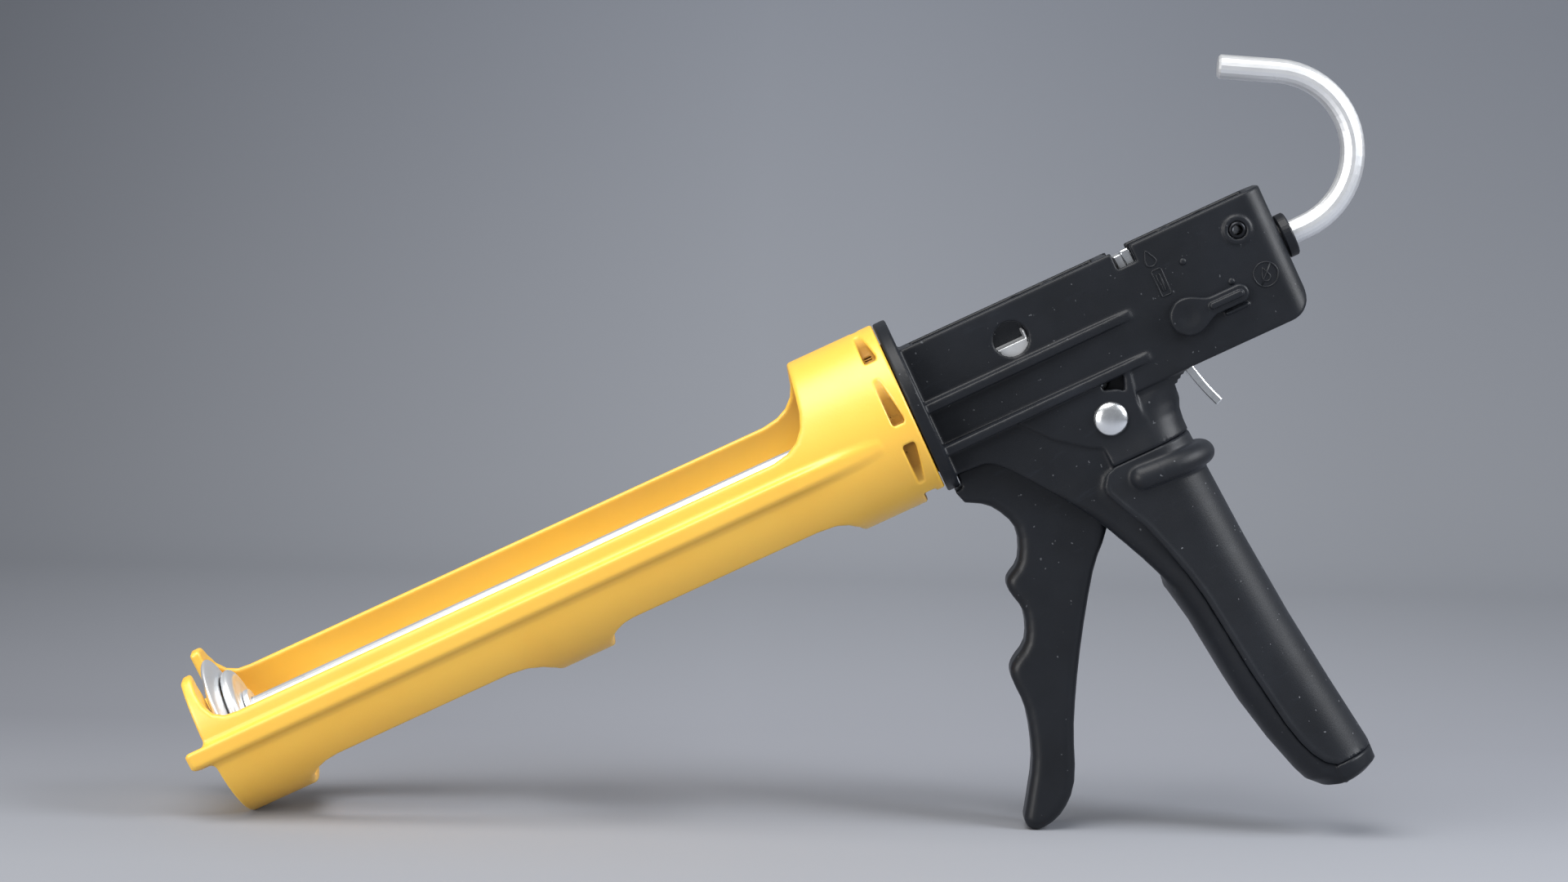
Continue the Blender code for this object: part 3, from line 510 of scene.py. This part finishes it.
# Millimetres, with the trough's opening upwards. Outlines are (x, z) pairs, but RIB_OUTLINE
# is (x, distance from the middle plane).
CRADLE_FRONT, CRADLE_REAR = -253.2, -3.0
CRADLE_R, CRADLE_BORE = 30.0, 27.4
PLATE_REAR = -249.4
WALL_TOP = 8.35
TROUGH_CUT = -19.6
MOUTH = [(PLATE_REAR, 60), (PLATE_REAR, 18), (-248.6, 14), (-246.6, 10.6),
         (-243.4, WALL_TOP + 0.4), (-239, WALL_TOP), (-50, WALL_TOP), (-44.5, 9.3),
         (-40.5, 11.3), (-37.4, 14.6), (-35.6, 18.6), (-34.6, 23), (-33, 31), (-33, 60)]
FRONT_GAP = [(-230.4, -60), (-230.2, -27.4), (-228.4, -24.2), (-225.6, -21.8), (-222.0, -20.3),
             (-217.5, TROUGH_CUT), (-156, TROUGH_CUT), (-150, -20.6), (-145.5, -23),
             (-142.6, -26), (-141, -29.4), (-140.6, -60)]
REAR_GAP = [(-122.6, -60), (-122.4, -26.8), (-120.8, -23.6), (-118.4, -21.6), (-115.6, -20.2),
            (-112, TROUGH_CUT), (-46.5, TROUGH_CUT), (-40, -20.4), (-36.4, -22.4),
            (-33.6, -25.6), (-32.3, -28.8), (-31.9, -60)]
POCKETS = 8
POCKET_DEPTH = 2.2
POCKET_HALF = 8.0
POCKET_FRONT, POCKET_REAR, POCKET_SLANT = -10.2, -5.9, 0.155
RIB_OUTLINE = [(-258.9, 26.0), (-260.4, 29.4), (-260.3, 31.4), (-259.0, 32.6), (-252, 32.7),
               (-46, 32.7), (-33, 31.4), (-17, 29.2), (-17, 26.0)]
SLOT_HALF = 13.0
REAR_WALL = 3.6
SEAT_R = 22.9
NOSE_TOP = 22.8
COLLAR_STEP, COLLAR_FLAT = -9.8, -24.6
RIB_OUT, RIB_HALF, RIB_SWELL, RIB_LEAN = 31.0, 1.6, 1.5, 0.35


def collar_pocket(x, y, z, radius, degrees):
    """A blind pocket in the collar: deep and square at one end, shallow and narrow at the other."""
    a = math.radians(degrees)
    radial = y * math.cos(a) + z * math.sin(a)
    along = z * math.cos(a) - y * math.sin(a)
    if math.sin(a) * math.cos(a) < 0:
        along = -along
    rear_edge = POCKET_REAR - POCKET_SLANT * np.maximum(along + 6.0, 0.0)
    sides = both(POCKET_FRONT - x, x - rear_edge, 1.0)
    ends = np.maximum(-POCKET_HALF - along, along - POCKET_HALF)
    depth = POCKET_DEPTH * np.clip(0.60 - 0.40 * along / POCKET_HALF, 0.12, 1.0)
    floor = np.maximum(CRADLE_R - depth - radius, 20.0 - radial)
    return both(both(sides, ends, 0.9), floor, 0.5)


def cradle_solid(x, y, z):
    """The half-open tube with its collar, ribs, gaps underneath, nose plate and nose slot."""
    radius = np.hypot(y, z)
    tube = both(radius - CRADLE_R, between(x, CRADLE_FRONT, CRADLE_REAR), 0.9)
    bore = both(radius - CRADLE_BORE, between(x, PLATE_REAR, CRADLE_REAR - REAR_WALL), 1.0)
    seat = np.maximum(radius - SEAT_R, CRADLE_REAR - REAR_WALL - 0.1 - x)
    tube = without(tube, either(bore, seat), 0.5)
    tube = without(tube, polygon(x, z, MOUTH), 0.95)

    plan = polygon(x, np.abs(y), RIB_OUTLINE)
    taper = np.clip((-16.0 - x) / 30.0, 0.0, 1.0)
    half = RIB_HALF + RIB_SWELL * np.sqrt(taper)
    lean = z - RIB_LEAN * (np.abs(y) - RIB_OUT)
    rib = both(plan, np.abs(lean) - half, 1.5)
    tube = either(tube, rib, 2.2)
    tube = without(tube, np.maximum(radius - CRADLE_BORE,
                                    between(x, PLATE_REAR + 0.6, CRADLE_REAR - REAR_WALL)))

    for gap in (FRONT_GAP, REAR_GAP):
        tube = without(tube, polygon(x, z, gap), 0.7)
    tube = without(tube, both(between(x, COLLAR_STEP, 5.0), z - COLLAR_FLAT, 0.6), 0.5)

    above_nose = np.maximum(x - PLATE_REAR - 0.1, NOSE_TOP - z)
    tube = without(tube, above_nose, 1.3)
    slot = np.where(z < 0, np.hypot(y, z), np.abs(y)) - SLOT_HALF
    tube = without(tube, np.maximum(slot, x - PLATE_REAR - 0.3), 1.2)
    for i in range(POCKETS):
        tube = without(tube, collar_pocket(x, y, z, radius, (i + 0.5) * 360 / POCKETS), 0.35)
    return tube


CRADLE_AXES = (grid(-262.0, (-226, 0.7), (-212, 1.2), (-162, 2.2), (-138, 0.9), (-110, 0.8),
                    (-96, 1.4), (-58, 2.2), (-16, 0.9), (-2.0, 0.5)),
               grid(-34.0, (34.0, 0.72)), grid(-31.6, (31.6, 0.72)))
moulding("cradle_shell", cradle_solid, CRADLE_AXES, YELLOW, CRADLE, "cradle",
         ["cradle"])


# ---------------------------------------------------------------- frame and grip

# Millimetres in the gun's frame. Outlines are (x, z) pairs, but GUSSET is (x, distance from
# the middle plane), and a round opening is its (x, z) with its radius.
BODY_TOP, BODY_BOTTOM, BODY_REAR, BODY_HALF = 19.0, -25.2, 129.7, 12.0
BODY_CORNER = 7.5
CHANNEL_HALF = 8.6
FLANGE_R = 29.8
SLEEVE, SLEEVE_GAP = 1.8, 0.16
SLEEVE_TOP, SLEEVE_BOTTOM = -44.2, -162.5
GRIP_BOTTOM = -169.8
PIVOT = (54.7, -29.5)
REAR_PIN = (116.8, 8.85)
SELECTOR = (91.0, -9.85)
ROUND_WINDOW = (36.1, 7.4, 5.8)
PIN_HOLE, SHAFT_HOLE, ROLL_PIN_HOLE = 3.3, 2.6, 2.9
RIB_HEIGHTS = (-1.5, -16.4)
SPIGOT_R, SPIGOT_RIM_R = 22.6, 26.4
ROD_HOLE_R, FRONT_BUSHING_R, REAR_BUSHING_R = 4.6, 6.4, 5.7
FRONT_BUSHING_END, REAR_BUSHING_END = 2.7, 123.5
BRIDGES = (55.0, 97.0)
TOP_NOTCH, NOTCH_FLOOR = (76.5, 83.2), 13.3
STOP_X, STOP_Z, STOP_RISE = (102.3, 110.5), (-14.9, -13.7), 1.2
CATCH_SLOT_X, CATCH_SLOT_Z, CATCH_SLOT_HALF = (78.4, 90.5), (-36, -20), 6.9

# The grip's lines, as (height, value) pairs going down
GRIP_REAR = [(-22, 96), (-24.4, 91.4), (-26, 87.2), (-28.5, 82.6), (-30.4, 80.4), (-32.4, 78.9),
             (-36.3, 77.2), (-40.2, 76.7), (-45.6, 76.7), (-57, 77.3), (-83, 79.0), (-112, 81.7),
             (-137, 84.8), (-161, 88.2), (-167.4, 88.0), (-168.9, 84.7), (-169.8, 80)]
GRIP_FRONT = [(-30, 46), (-44, 44), (-46, 40), (-50, 39.4), (-58, 40.6), (-64, 40.6), (-74, 44),
              (-89, 48.7), (-101.2, 51.1), (-121.7, 53.5), (-132, 55), (-147, 58.4),
              (-160, 62.3), (-164.5, 64.2), (-168.4, 68.1), (-169.8, 73)]
SLEEVE_FRONT = [(-44.2, 49.5), (-45.4, 46), (-48.7, 43.7), (-51, 43.4), (-58.4, 46.7),
                (-66.2, 50.6), (-75, 53.5), (-85.6, 56.5), (-94.4, 58.4), (-107, 60.0),
                (-121.7, 61.8), (-143, 65.2), (-150.9, 67.2), (-155.7, 69.1), (-160, 71.8),
                (-162.5, 75.0)]
GRIP_WIDTH = [(-22, 10), (-25.2, 10.5), (-30, 11.8), (-36, 12.6), (-44, 14.2), (-164, 14.2),
              (-167.6, 13.6), (-169.0, 12.6), (-169.8, 11.5)]
FRONT_WIDTH = [(-22, 9.5), (-62, 11.6), (-74, 12.2), (-90, 13.2), (-164, 13.4), (-169.8, 12.6)]


def line_at(z, line):
    """A grip line's value at each height."""
    heights, values = zip(*line[::-1])
    return np.interp(z, heights, values)


def grip_back(x, y, z, sink):
    """The round back of the grip and its flat sides, sunk by an even depth."""
    rear = line_at(z, GRIP_REAR)
    half = line_at(z, GRIP_WIDTH) - sink
    centre = np.maximum(rear - 14.0, line_at(z, SLEEVE_FRONT) + 1.0)
    reach = rear - sink - centre
    over = np.maximum(x - centre, 0.0)
    q = np.hypot(over / reach, y / half)
    return (q - 1.0) * np.where(x > centre, np.minimum(reach, half), half)


def grip_nose(x, y, z):
    """The round front of the grip, up to the cover's edge."""
    front = line_at(z, GRIP_FRONT)
    edge = line_at(z, SLEEVE_FRONT) - SLEEVE_GAP
    half = line_at(z, FRONT_WIDTH)
    nose = np.clip(edge - front - SLEEVE_GAP, 2.0, 8.0)
    ahead = np.maximum(front + nose - x, 0.0)
    q = np.hypot(ahead / nose, y / half)
    shell = (q - 1.0) * np.where(x < front + nose, np.minimum(nose, half), half)
    return np.maximum(shell, x - edge)


def grip_core(x, y, z):
    """The moulded grip: bare above and below the cover, sunk under it."""
    sleeved = both(z - SLEEVE_TOP - SLEEVE_GAP, SLEEVE_BOTTOM - SLEEVE_GAP - z)
    bare = np.maximum(grip_back(x, y, z, 0.0), -sleeved)
    under = grip_back(x, y, z, SLEEVE + SLEEVE_GAP)
    edge = line_at(z, SLEEVE_FRONT) - SLEEVE_GAP
    rear = np.maximum(np.minimum(bare, under), edge - 0.4 - x)
    shape = np.minimum(rear, grip_nose(x, y, z))
    return both(shape, between(z, GRIP_BOTTOM, -22.0), 1.6)


SIDE = [(1.5, 40), (1.5, BODY_BOTTOM)]
SIDE += smooth([(10.7, -25.7), (15.6, -28.2), (25.5, -40.5), (34.5, -54.0), (38.9, -62.3)], 3)
SIDE += [(50, -86), (55, -96), (62, -96), (65, -60), (65, BODY_BOTTOM)]
SIDE += arc(BODY_REAR - 8.5, BODY_BOTTOM + 8.5, 8.5, 9, -90, 0) + [(BODY_REAR, 40)]
FRONT_CHANNEL = [(6, 40), (42, 40), (42, -14), (44.6, -14), (44.6, 40), (71, 40), (71.2, -16),
                 (68.6, -24), (66, -33), (66, -50), (56.5, -62), (54, -68), (51.2, -78),
                 (48.4, -87), (30, -87), (2.2, -40), (2.2, -24), (6, -24)]
REAR_CHANNEL = [(75.5, 40), (108, 40), (108, -14), (111, -14), (111, 40), (124.5, 40),
                (124.5, -21.8), (75.5, -21.8)]
PAD = [(67, -17.5), (64.9, -28.5)] + arc(*PIVOT, 10.2, 9, -5, -100) \
    + [(45, -35.6), (35, -28), (26, -17.5)]
WINDOW = [(56.2, -18.3), (64.4, -18.3), (62.6, -23.1), (60.4, -21.6), (56.2, -20.2)]
GUSSET = [(0.5, 11.0), (0.5, 20.2), (6, 19.6), (74, 12.7), (76.5, 11.0)]


def frame_solid(x, y, z):
    """The body with its grip core, flange, spigot, ribs, pads, channels and holes."""
    side = np.abs(y)
    shape = both(x - BODY_REAR, side - BODY_HALF, BODY_CORNER)
    edge = 0.8 + 4.0 * np.clip((-42.0 - z) / 20.0, 0.0, 1.0)
    shape = both(shape, both(polygon(x, z, SIDE), z - BODY_TOP, 0.5), edge)
    shape = either(shape, grip_core(x, y, z), 1.5)

    radius = np.hypot(y, z)
    flange = both(radius - FLANGE_R, between(x, -2.7, 1.7), 0.7)
    spigot = np.maximum(radius - SPIGOT_R, between(x, -8.0, 0.0))
    rim = both(radius - SPIGOT_RIM_R, between(x, -12.4, -6.9), 0.5)
    shape = either(shape, flange, 1.0)
    shape = np.minimum(shape, np.minimum(spigot, rim))

    plan = polygon(x, side, GUSSET)
    for height in RIB_HEIGHTS:
        shape = either(shape, both(plan, np.abs(z - height) - 1.6, 0.8), 0.7)
    pad = both(polygon(x, z, PAD), side - BODY_HALF - 0.8, 0.5)
    shape = either(shape, pad, 0.4)
    boss = both(round_hole(x, z, *REAR_PIN, 4.7), side - BODY_HALF - 0.6, 0.4)
    shape = either(shape, boss, 0.3)
    stop = both(between(x, *STOP_X), between(z, *STOP_Z), 0.4)
    stop = both(stop, -y - BODY_HALF - STOP_RISE, 0.4)
    shape = either(shape, np.maximum(stop, y + BODY_HALF - 1), 0.4)

    inside = side - CHANNEL_HALF
    for channel in (FRONT_CHANNEL, REAR_CHANNEL):
        shape = without(shape, both(polygon(x, z, channel), inside), 0.5)
    shape = without(shape, np.maximum(np.maximum(between(x, 41, 45.5), 12.5 - z), inside))
    shape = without(shape, np.maximum(np.maximum(between(x, 107, 112), 10.5 - z), inside))
    for middle in BRIDGES:
        bridge = np.maximum(between(x, middle - 1.4, middle + 1.4), between(z, 15.4, 18.3))
        shape = np.minimum(shape, np.maximum(bridge, side - CHANNEL_HALF - 1.0))
    shape = without(shape, radius - ROD_HOLE_R)
    shape = without(shape, np.maximum(radius - FRONT_BUSHING_R, x - FRONT_BUSHING_END))
    shape = without(shape, np.maximum(radius - REAR_BUSHING_R, REAR_BUSHING_END - x))
    shape = without(shape, np.maximum(round_hole(x, z, *ROUND_WINDOW), y), 0.4)
    shape = without(shape, round_hole(x, z, *PIVOT, PIN_HOLE))
    shape = without(shape, round_hole(x, z, *SELECTOR, SHAFT_HOLE))
    shape = without(shape, round_hole(x, z, *REAR_PIN, ROLL_PIN_HOLE), 0.4)
    shape = without(shape, np.maximum(between(x, *TOP_NOTCH), NOTCH_FLOOR - z), 0.4)
    shape = without(shape, polygon(x, z, WINDOW), 0.3)
    slot = np.maximum(between(x, *CATCH_SLOT_X), between(z, *CATCH_SLOT_Z))
    return without(shape, np.maximum(slot, side - CATCH_SLOT_HALF))


FRAME_AXES = (grid(-13.2, (-2.9, 0.8), (4.0, 0.6), (26, 0.9), (132.0, 0.75)),
              grid(-30.6, (-21, 1.1), (-8, 0.62), (8, 1.3), (21, 0.62), (30.6, 1.1)),
              grid(-171.2, (-158, 0.9), (-64, 1.3), (-26, 0.9), (20.2, 0.68), (31.0, 0.9)))
moulding("frame_shell", frame_solid, FRAME_AXES, BLACK, GUN, "frame", ["frame"])


def sleeve_solid(x, y, z):
    """The soft cover with its front lips and the thumb ridge bent round its back."""
    outer = grip_back(x, y, z, 0.0)
    edge = line_at(z, SLEEVE_FRONT)
    lip = np.hypot(x - edge - 0.9, np.abs(y) - 13.7) - 0.9
    cover = both(outer, edge - x, 0.5)
    cover = both(cover, between(z, SLEEVE_BOTTOM, SLEEVE_TOP), 0.25)
    cover = np.maximum(cover, -grip_back(x, y, z, SLEEVE))
    cover = either(cover, np.maximum(lip, between(z, SLEEVE_BOTTOM + 1, SLEEVE_TOP - 1)), 0.6)

    straight = np.abs(np.abs(y) - 13.6)
    bend = np.abs(np.hypot((x - 62.6) / 15.0, y / 13.6) - 1.0) * 14.3
    level = z + 50.9 + 1.6 * (x - 53.5) / 24
    ahead = np.maximum(56.2 - x, 0.0)
    bar = np.sqrt(np.where(x < 62.6, straight, bend) ** 2 + level ** 2 + ahead ** 2) - 4.1
    bar = np.maximum(bar, -grip_back(x, y, z, SLEEVE))
    return either(cover, bar, 0.9)


SLEEVE_AXES = (grid(42.4, (67.7, 0.62), (89.4, 0.85)),
               grid(-18.6, (-9, 0.62), (9, 1.0), (18.6, 0.62)),
               grid(-163.6, (-58, 1.4), (-43.4, 0.6)))
moulding("grip_cover", sleeve_solid, SLEEVE_AXES, GRIP, GUN, "frame", ["grip_sleeve"])


# ---------------------------------------------------------------- trigger

BLADE = smooth([(0.6, -35.0), (7.8, -39.9), (12.1, -49.6), (8.6, -59.4), (3.0, -63.3),
                (1.7, -67.4), (3.1, -75.5), (-0.4, -84.6), (-7.3, -89.3), (-9.4, -94.0),
                (-9.6, -105.5), (-14.2, -120.5), (-21.6, -132.6), (-25.1, -138.6),
                (-22.4, -142.7), (-13.6, -141.3), (-4.9, -133.3), (2.9, -115.8),
                (14.6, -94.9), (29.2, -73.0), (38.9, -62.3), (49.0, -45.0)], 3)
TRIGGER_HALF, ARM_HALF = 8.0, 7.2
ROLLER_HOLE = (66.4, -12.75, 2.8)
ARM = arc(*PIVOT, 7.6, 7, -60, 20)
ARM += [(66.4, -22.0), (69.7, -14.0), (69.7, -9.4), (65.0, -9.4), (64.9, -15.4), (60.2, -17.8),
        (56.0, -21.4), (48.0, -24.6), (40.0, -27.0), (2.1, -24.9), (2.0, -30.0), (-0.8, -30.5)]


def trigger_solid(x, y, z):
    """The blade with its finger notches, and the arm that carries the roller."""
    edge = 0.4 + 3.0 * np.clip((-31.0 - z) / 8.0, 0.0, 1.0)
    shape = both(polygon(x, z, BLADE + ARM), np.abs(y) - TRIGGER_HALF, edge)
    relief = np.maximum(between(x, 49, 80), between(z, -40, 0))
    relief = np.maximum(relief, ARM_HALF - np.abs(y))
    shape = without(shape, relief)
    shape = without(shape, round_hole(x, z, *PIVOT, PIN_HOLE))
    return without(shape, round_hole(x, z, *ROLLER_HOLE))


TRIGGER_AXES = (grid(-26.2, (71.0, 0.72)), grid(-9.2, (9.2, 0.72)), grid(-144.0, (-8.4, 0.75)))
moulding("trigger_blade", trigger_solid, TRIGGER_AXES, TRIGGER, GUN, "trigger",
         ["trigger"])


# ---------------------------------------------------------------- selector lever

LEVER_REACH = 18.0
LEVER_HEAD, LEVER_TIP = 6.2, 3.0
sx, sz = SELECTOR


def lever_solid(x, y, z):
    """The lever's round head, its arm with a raised rib, and the dish in its head."""
    outer = -BODY_HALF - 0.3 - y
    head = round_hole(x, z, sx, sz, LEVER_HEAD)
    arm = both(np.abs(z - sz) - LEVER_TIP, between(x, sx, sx + LEVER_REACH))
    tip = round_hole(x, z, sx + LEVER_REACH, sz, LEVER_TIP)
    shape = either(head, np.minimum(arm, tip), 3.5)
    shape = both(shape, between(outer, 0.0, 2.8), 0.9)
    dish = np.sqrt((x - sx) ** 2 + (z - sz) ** 2 + (outer - 14.2) ** 2) - 11.8
    shape = without(shape, dish, 0.3)
    from_middle = np.abs(x - sx - 13.2)
    rib = np.hypot(from_middle - np.minimum(from_middle, 4.8), z - sz) - 1.1
    return either(shape, both(rib, between(outer, 1.0, 4.0), 0.7), 0.5)


LEVER_AXES = (grid(sx - 7.0, (sx + 22, 0.32)), grid(-16.8, (-12.0, 0.22)),
              grid(sz - 7, (sz + 7, 0.32)))
moulding("selector_handle", lever_solid, LEVER_AXES, BLACK, GUN, "selector",
         ["selector_lever"])


# ---------------------------------------------------------------- turned and bent metal

def y_lathe(name, profile, centre, material, body, replaced=(), segments=72):
    """A closed profile of (Y, radius) turned about a pin's axis."""
    x, z = centre
    return lathe(name, profile, material, GUN, body, replaced, segments, "Y", (x, 0.0, z))


y_lathe("trigger_pin_head", [
    (-15.1, 0), (-15.06, 1.6), (-14.9, 3.0), (-14.6, 4.1), (-14.2, 4.9), (-13.75, 5.4), (-13.3, 5.55),
    (-13.1, 5.4), (-13.1, 3.0), (13.8, 3.0), (14.2, 2.6), (14.2, 0)], PIVOT, ZINC, "frame",
    ["trigger_pin"])
y_lathe("rear_roll_pin", [
    (-12.8, 1.75), (-12.6, 1.6), (12.6, 1.6), (12.8, 1.75), (12.8, 2.2), (12.45, 2.6), (-12.45, 2.6),
    (-12.8, 2.2)], REAR_PIN, DARK_PIN, "frame", ["rear_pin"])

PISTON = -249.0


def cup(name, profile, replaced):
    """A pressed piece of the piston from (distance behind the piston's front, radius)."""
    line = [(PISTON + x, r) for x, r in profile]
    return lathe(name, line, PRESSED, GUN, "piston", replaced)


cup("piston_front_dish", [
    (0, 4.3), (0, 8.0), (0.3, 8.8), (0.3, 14.6), (0, 15.4), (0, 16.8), (0.15, 18.6), (0.35, 19.9),
    (0.7, 20.9), (1.15, 21.45), (1.6, 21.6), (2.0, 21.5), (2.3, 21.1), (2.9, 19.3), (3.5, 17.4),
    (3.9, 15.8), (4.0, 15.0), (4.0, 14.4), (3.4, 14.6), (2.6, 17.0), (1.8, 19.4), (1.4, 19.4),
    (1.0, 17.0), (1.0, 4.3)], ["piston_front_cup"])
cup("piston_rear_dish", [
    (8.4, 4.3), (8.4, 9.6), (8.15, 10.2), (8.15, 12.0), (8.4, 12.6), (8.3, 13.6), (8.0, 14.4),
    (7.5, 15.1), (6.9, 15.6), (6.2, 15.7), (5.6, 15.5), (5.0, 15.1), (4.6, 14.7), (4.5, 14.3),
    (4.5, 14.0), (5.4, 14.3), (6.4, 14.4), (7.0, 13.6), (7.4, 12.2), (7.4, 4.3)],
    ["piston_rear_cup"])
cup("piston_flat_washer", [
    (8.7, 4.3), (8.7, 6.7), (8.9, 7.05), (9.3, 7.15), (10.1, 7.15), (10.5, 7.05), (10.7, 6.7),
    (10.7, 4.3)], ["piston_washer"])


def cutter_solid(x, y, z):
    """The nozzle cutter: a shelf over the rod, a turned-up edge behind, a lip turned down in front."""
    shelf = both(between(x, 30.6, 41.4), between(z, 4.7, 5.5), 0.2)
    edge = both(between(x, 40.6, 41.4), between(z, 4.7, 8.2), 0.2)
    blade = both(np.minimum(shelf, edge), np.abs(y) - 8.3, 0.2)
    lip = both(between(x, 31.2, 41.0), between(z, 1.2, 5.3), 0.3)
    lip = both(lip, between(y, -8.3, -7.5), 0.2)
    return np.minimum(blade, lip)


CUTTER_AXES = (grid(30.0, (42.0, 0.3)), grid(-8.8, (8.8, 0.3)), grid(0.6, (10.4, 0.3)))
moulding("cutter_blade_folded", cutter_solid, CUTTER_AXES, PRESSED, GUN, "frame",
         ["cutter_blade"])


# ---------------------------------------------------------------- marks raised on the near face

def bead_line(paths, radius, y, name, sides=8):
    """Round beads along X-Z paths, sunk in a face; a path that ends where it starts is a loop."""
    points = []
    faces = []
    for path in paths:
        loop = math.dist(path[0], path[-1]) < 1e-6
        line = path[:-1] if loop else path
        n = len(line)
        first = len(points)
        for i, (px, pz) in enumerate(line):
            ahead = line[(i + 1) % n] if loop else line[min(i + 1, n - 1)]
            behind = line[i - 1] if loop else line[max(i - 1, 0)]
            tx, tz = ahead[0] - behind[0], ahead[1] - behind[1]
            size = math.hypot(tx, tz)
            nx, nz = -tz / size, tx / size
            for j in range(sides):
                a = 2 * math.pi * j / sides
                across, out = radius * math.cos(a), radius * math.sin(a)
                points.append((px + nx * across, y - out, pz + nz * across))
        for i in range(n if loop else n - 1):
            a, b = first + i * sides, first + (i + 1) % n * sides
            for j in range(sides):
                k = (j + 1) % sides
                faces.append((a + j, a + k, b + k, b + j))
        if not loop:
            faces.append(tuple(first + j for j in range(sides))[::-1])
            faces.append(tuple(first + (n - 1) * sides + j for j in range(sides)))
    return make(name, points, faces, BLACK, GUN, "frame")


def closed(path):
    """The path with its first point again at its end."""
    return path + path[:1]


BEAD = 0.32
MARKS_AT = -11.93
drop = [(85.6, 10.6), (86.2, 9.9), (87.3, 9.6), (88.4, 9.9), (89.0, 10.7), (88.9, 11.7),
        (88.0, 13.4), (87.1, 15.0), (86.2, 13.3), (85.6, 11.7)]
nozzle = [(86.3, 8.2), (86.0, 7.8), (86.0, -0.4), (86.3, -0.8), (89.0, -0.8), (89.3, -0.4),
          (89.3, 7.8), (89.0, 8.2)]
nozzle_core = [(87.1, 6.6), (87.1, 0.9), (88.2, 0.9), (88.2, 6.6)]
crossed = arc(119.3, -8.0, 4.0, 25, 0, 360)
cross_bar = [(116.6, -10.8), (119.3, -8.0), (122.0, -5.2)]
small_drop = arc(119.1, -8.9, 1.3, 9, 150, 390) + [(119.1, -5.6)]
bead_line([closed(smooth(closed(drop), 2)[:-1]), closed(nozzle), closed(nozzle_core), crossed,
           cross_bar, closed(small_drop)], BEAD, MARKS_AT, "use_marks")
for label, (dx, dz) in (("off", (96.7, 6.9)), ("on", (108.3, -5.5))):
    y_lathe("detent_dot_" + label, [(-12.5, 0), (-12.46, 0.5), (-12.3, 0.9), (-12.05, 1.15),
                                    (-11.8, 1.2), (-11.8, 0)], (dx, dz), BLACK, "frame",
            (), 24)


# ---------------------------------------------------------------- camera, lights, floor

CAMERA_AT = Vector((0.004, -1.2252, 0.210))
CAMERA_YAW = math.radians(-0.189)
CAMERA_PITCH = math.radians(-3.967)
CAMERA_ROLL = math.radians(1.345)
LENS = 86.42
SKY = (0.90, 0.94, 1.0)
SKY_STRENGTH = 0.26


def add_camera():
    """The photo's viewing angle: turned by yaw, tipped by pitch, rolled about its own line."""
    forward = Vector((math.sin(CAMERA_YAW) * math.cos(CAMERA_PITCH),
                      math.cos(CAMERA_YAW) * math.cos(CAMERA_PITCH), math.sin(CAMERA_PITCH)))
    level = Vector((math.cos(CAMERA_YAW), -math.sin(CAMERA_YAW), 0.0))
    upright = level.cross(forward)
    right = level * math.cos(CAMERA_ROLL) + upright * math.sin(CAMERA_ROLL)
    up = upright * math.cos(CAMERA_ROLL) - level * math.sin(CAMERA_ROLL)
    data = bpy.data.cameras.new("camera")
    data.lens = LENS
    data.sensor_width = 36.0
    data.clip_start = 0.01
    camera = bpy.data.objects.new("camera", data)
    camera.matrix_world = Matrix.Translation(CAMERA_AT) @ Matrix(
        (right, up, -forward)).transposed().to_4x4()
    bpy.context.scene.collection.objects.link(camera)
    bpy.context.scene.camera = camera


def add_backdrop():
    """A paper sweep: flat under the gun, curving up behind it to a low edge that
    stays out of the way of a camera behind the gun."""
    half, front, back, radius, sweep, steps = 4.0, -2.2, 0.75, 0.7, 70, 24
    line = [(front, 0.0), (back, 0.0)]
    for i in range(1, steps + 1):
        a = math.radians(sweep * i / steps)
        line.append((back + radius * math.sin(a), radius - radius * math.cos(a)))
    verts = [(x, y, z) for x in (-half, half) for y, z in line]
    n = len(line)
    faces = [(i, i + 1, n + i + 1, n + i) for i in range(n - 1)]
    mesh = bpy.data.meshes.new("backdrop")
    mesh.from_pydata(verts, [], faces)
    mesh.shade_smooth()
    mesh.materials.append(backdrop_paint())
    obj = bpy.data.objects.new("backdrop", mesh)
    bpy.context.scene.collection.objects.link(obj)


def add_light(name, at, towards, size, power, colour):
    """A soft rectangular light aimed at a point; its power is in watts."""
    data = bpy.data.lights.new(name, "AREA")
    data.shape = "RECTANGLE"
    data.size, data.size_y = size
    data.energy = power
    data.color = colour
    light = bpy.data.objects.new(name, data)
    light.location = at
    light.rotation_euler = (Vector(towards) - Vector(at)).to_track_quat("-Z", "Y").to_euler()
    bpy.context.scene.collection.objects.link(light)


def add_world():
    """Even, faintly blue light from all round."""
    world = bpy.data.worlds.new("studio")
    world.use_nodes = True
    background = world.node_tree.nodes["Background"]
    background.inputs["Color"].default_value = rgb(*SKY)
    background.inputs["Strength"].default_value = SKY_STRENGTH
    bpy.context.scene.world = world


bpy.context.scene.view_settings.view_transform = "Standard"
add_camera()
add_backdrop()
add_world()
# name, place, aim, size, power, colour
add_light("key", (-0.35, -0.50, 1.30), (0.0, 0.0, 0.08), (1.2, 0.9), 20.5, (1.0, 0.985, 0.96))
add_light("left_fill", (-1.15, -1.15, 0.25), (0.0, 0.0, 0.1), (1.0, 0.8), 19.5, (1.0, 0.98, 0.95))
add_light("right_panel", (0.80, -0.28, 0.60), (0.15, 0.0, 0.2), (0.5, 0.5), 8, (0.95, 0.97, 1.0))
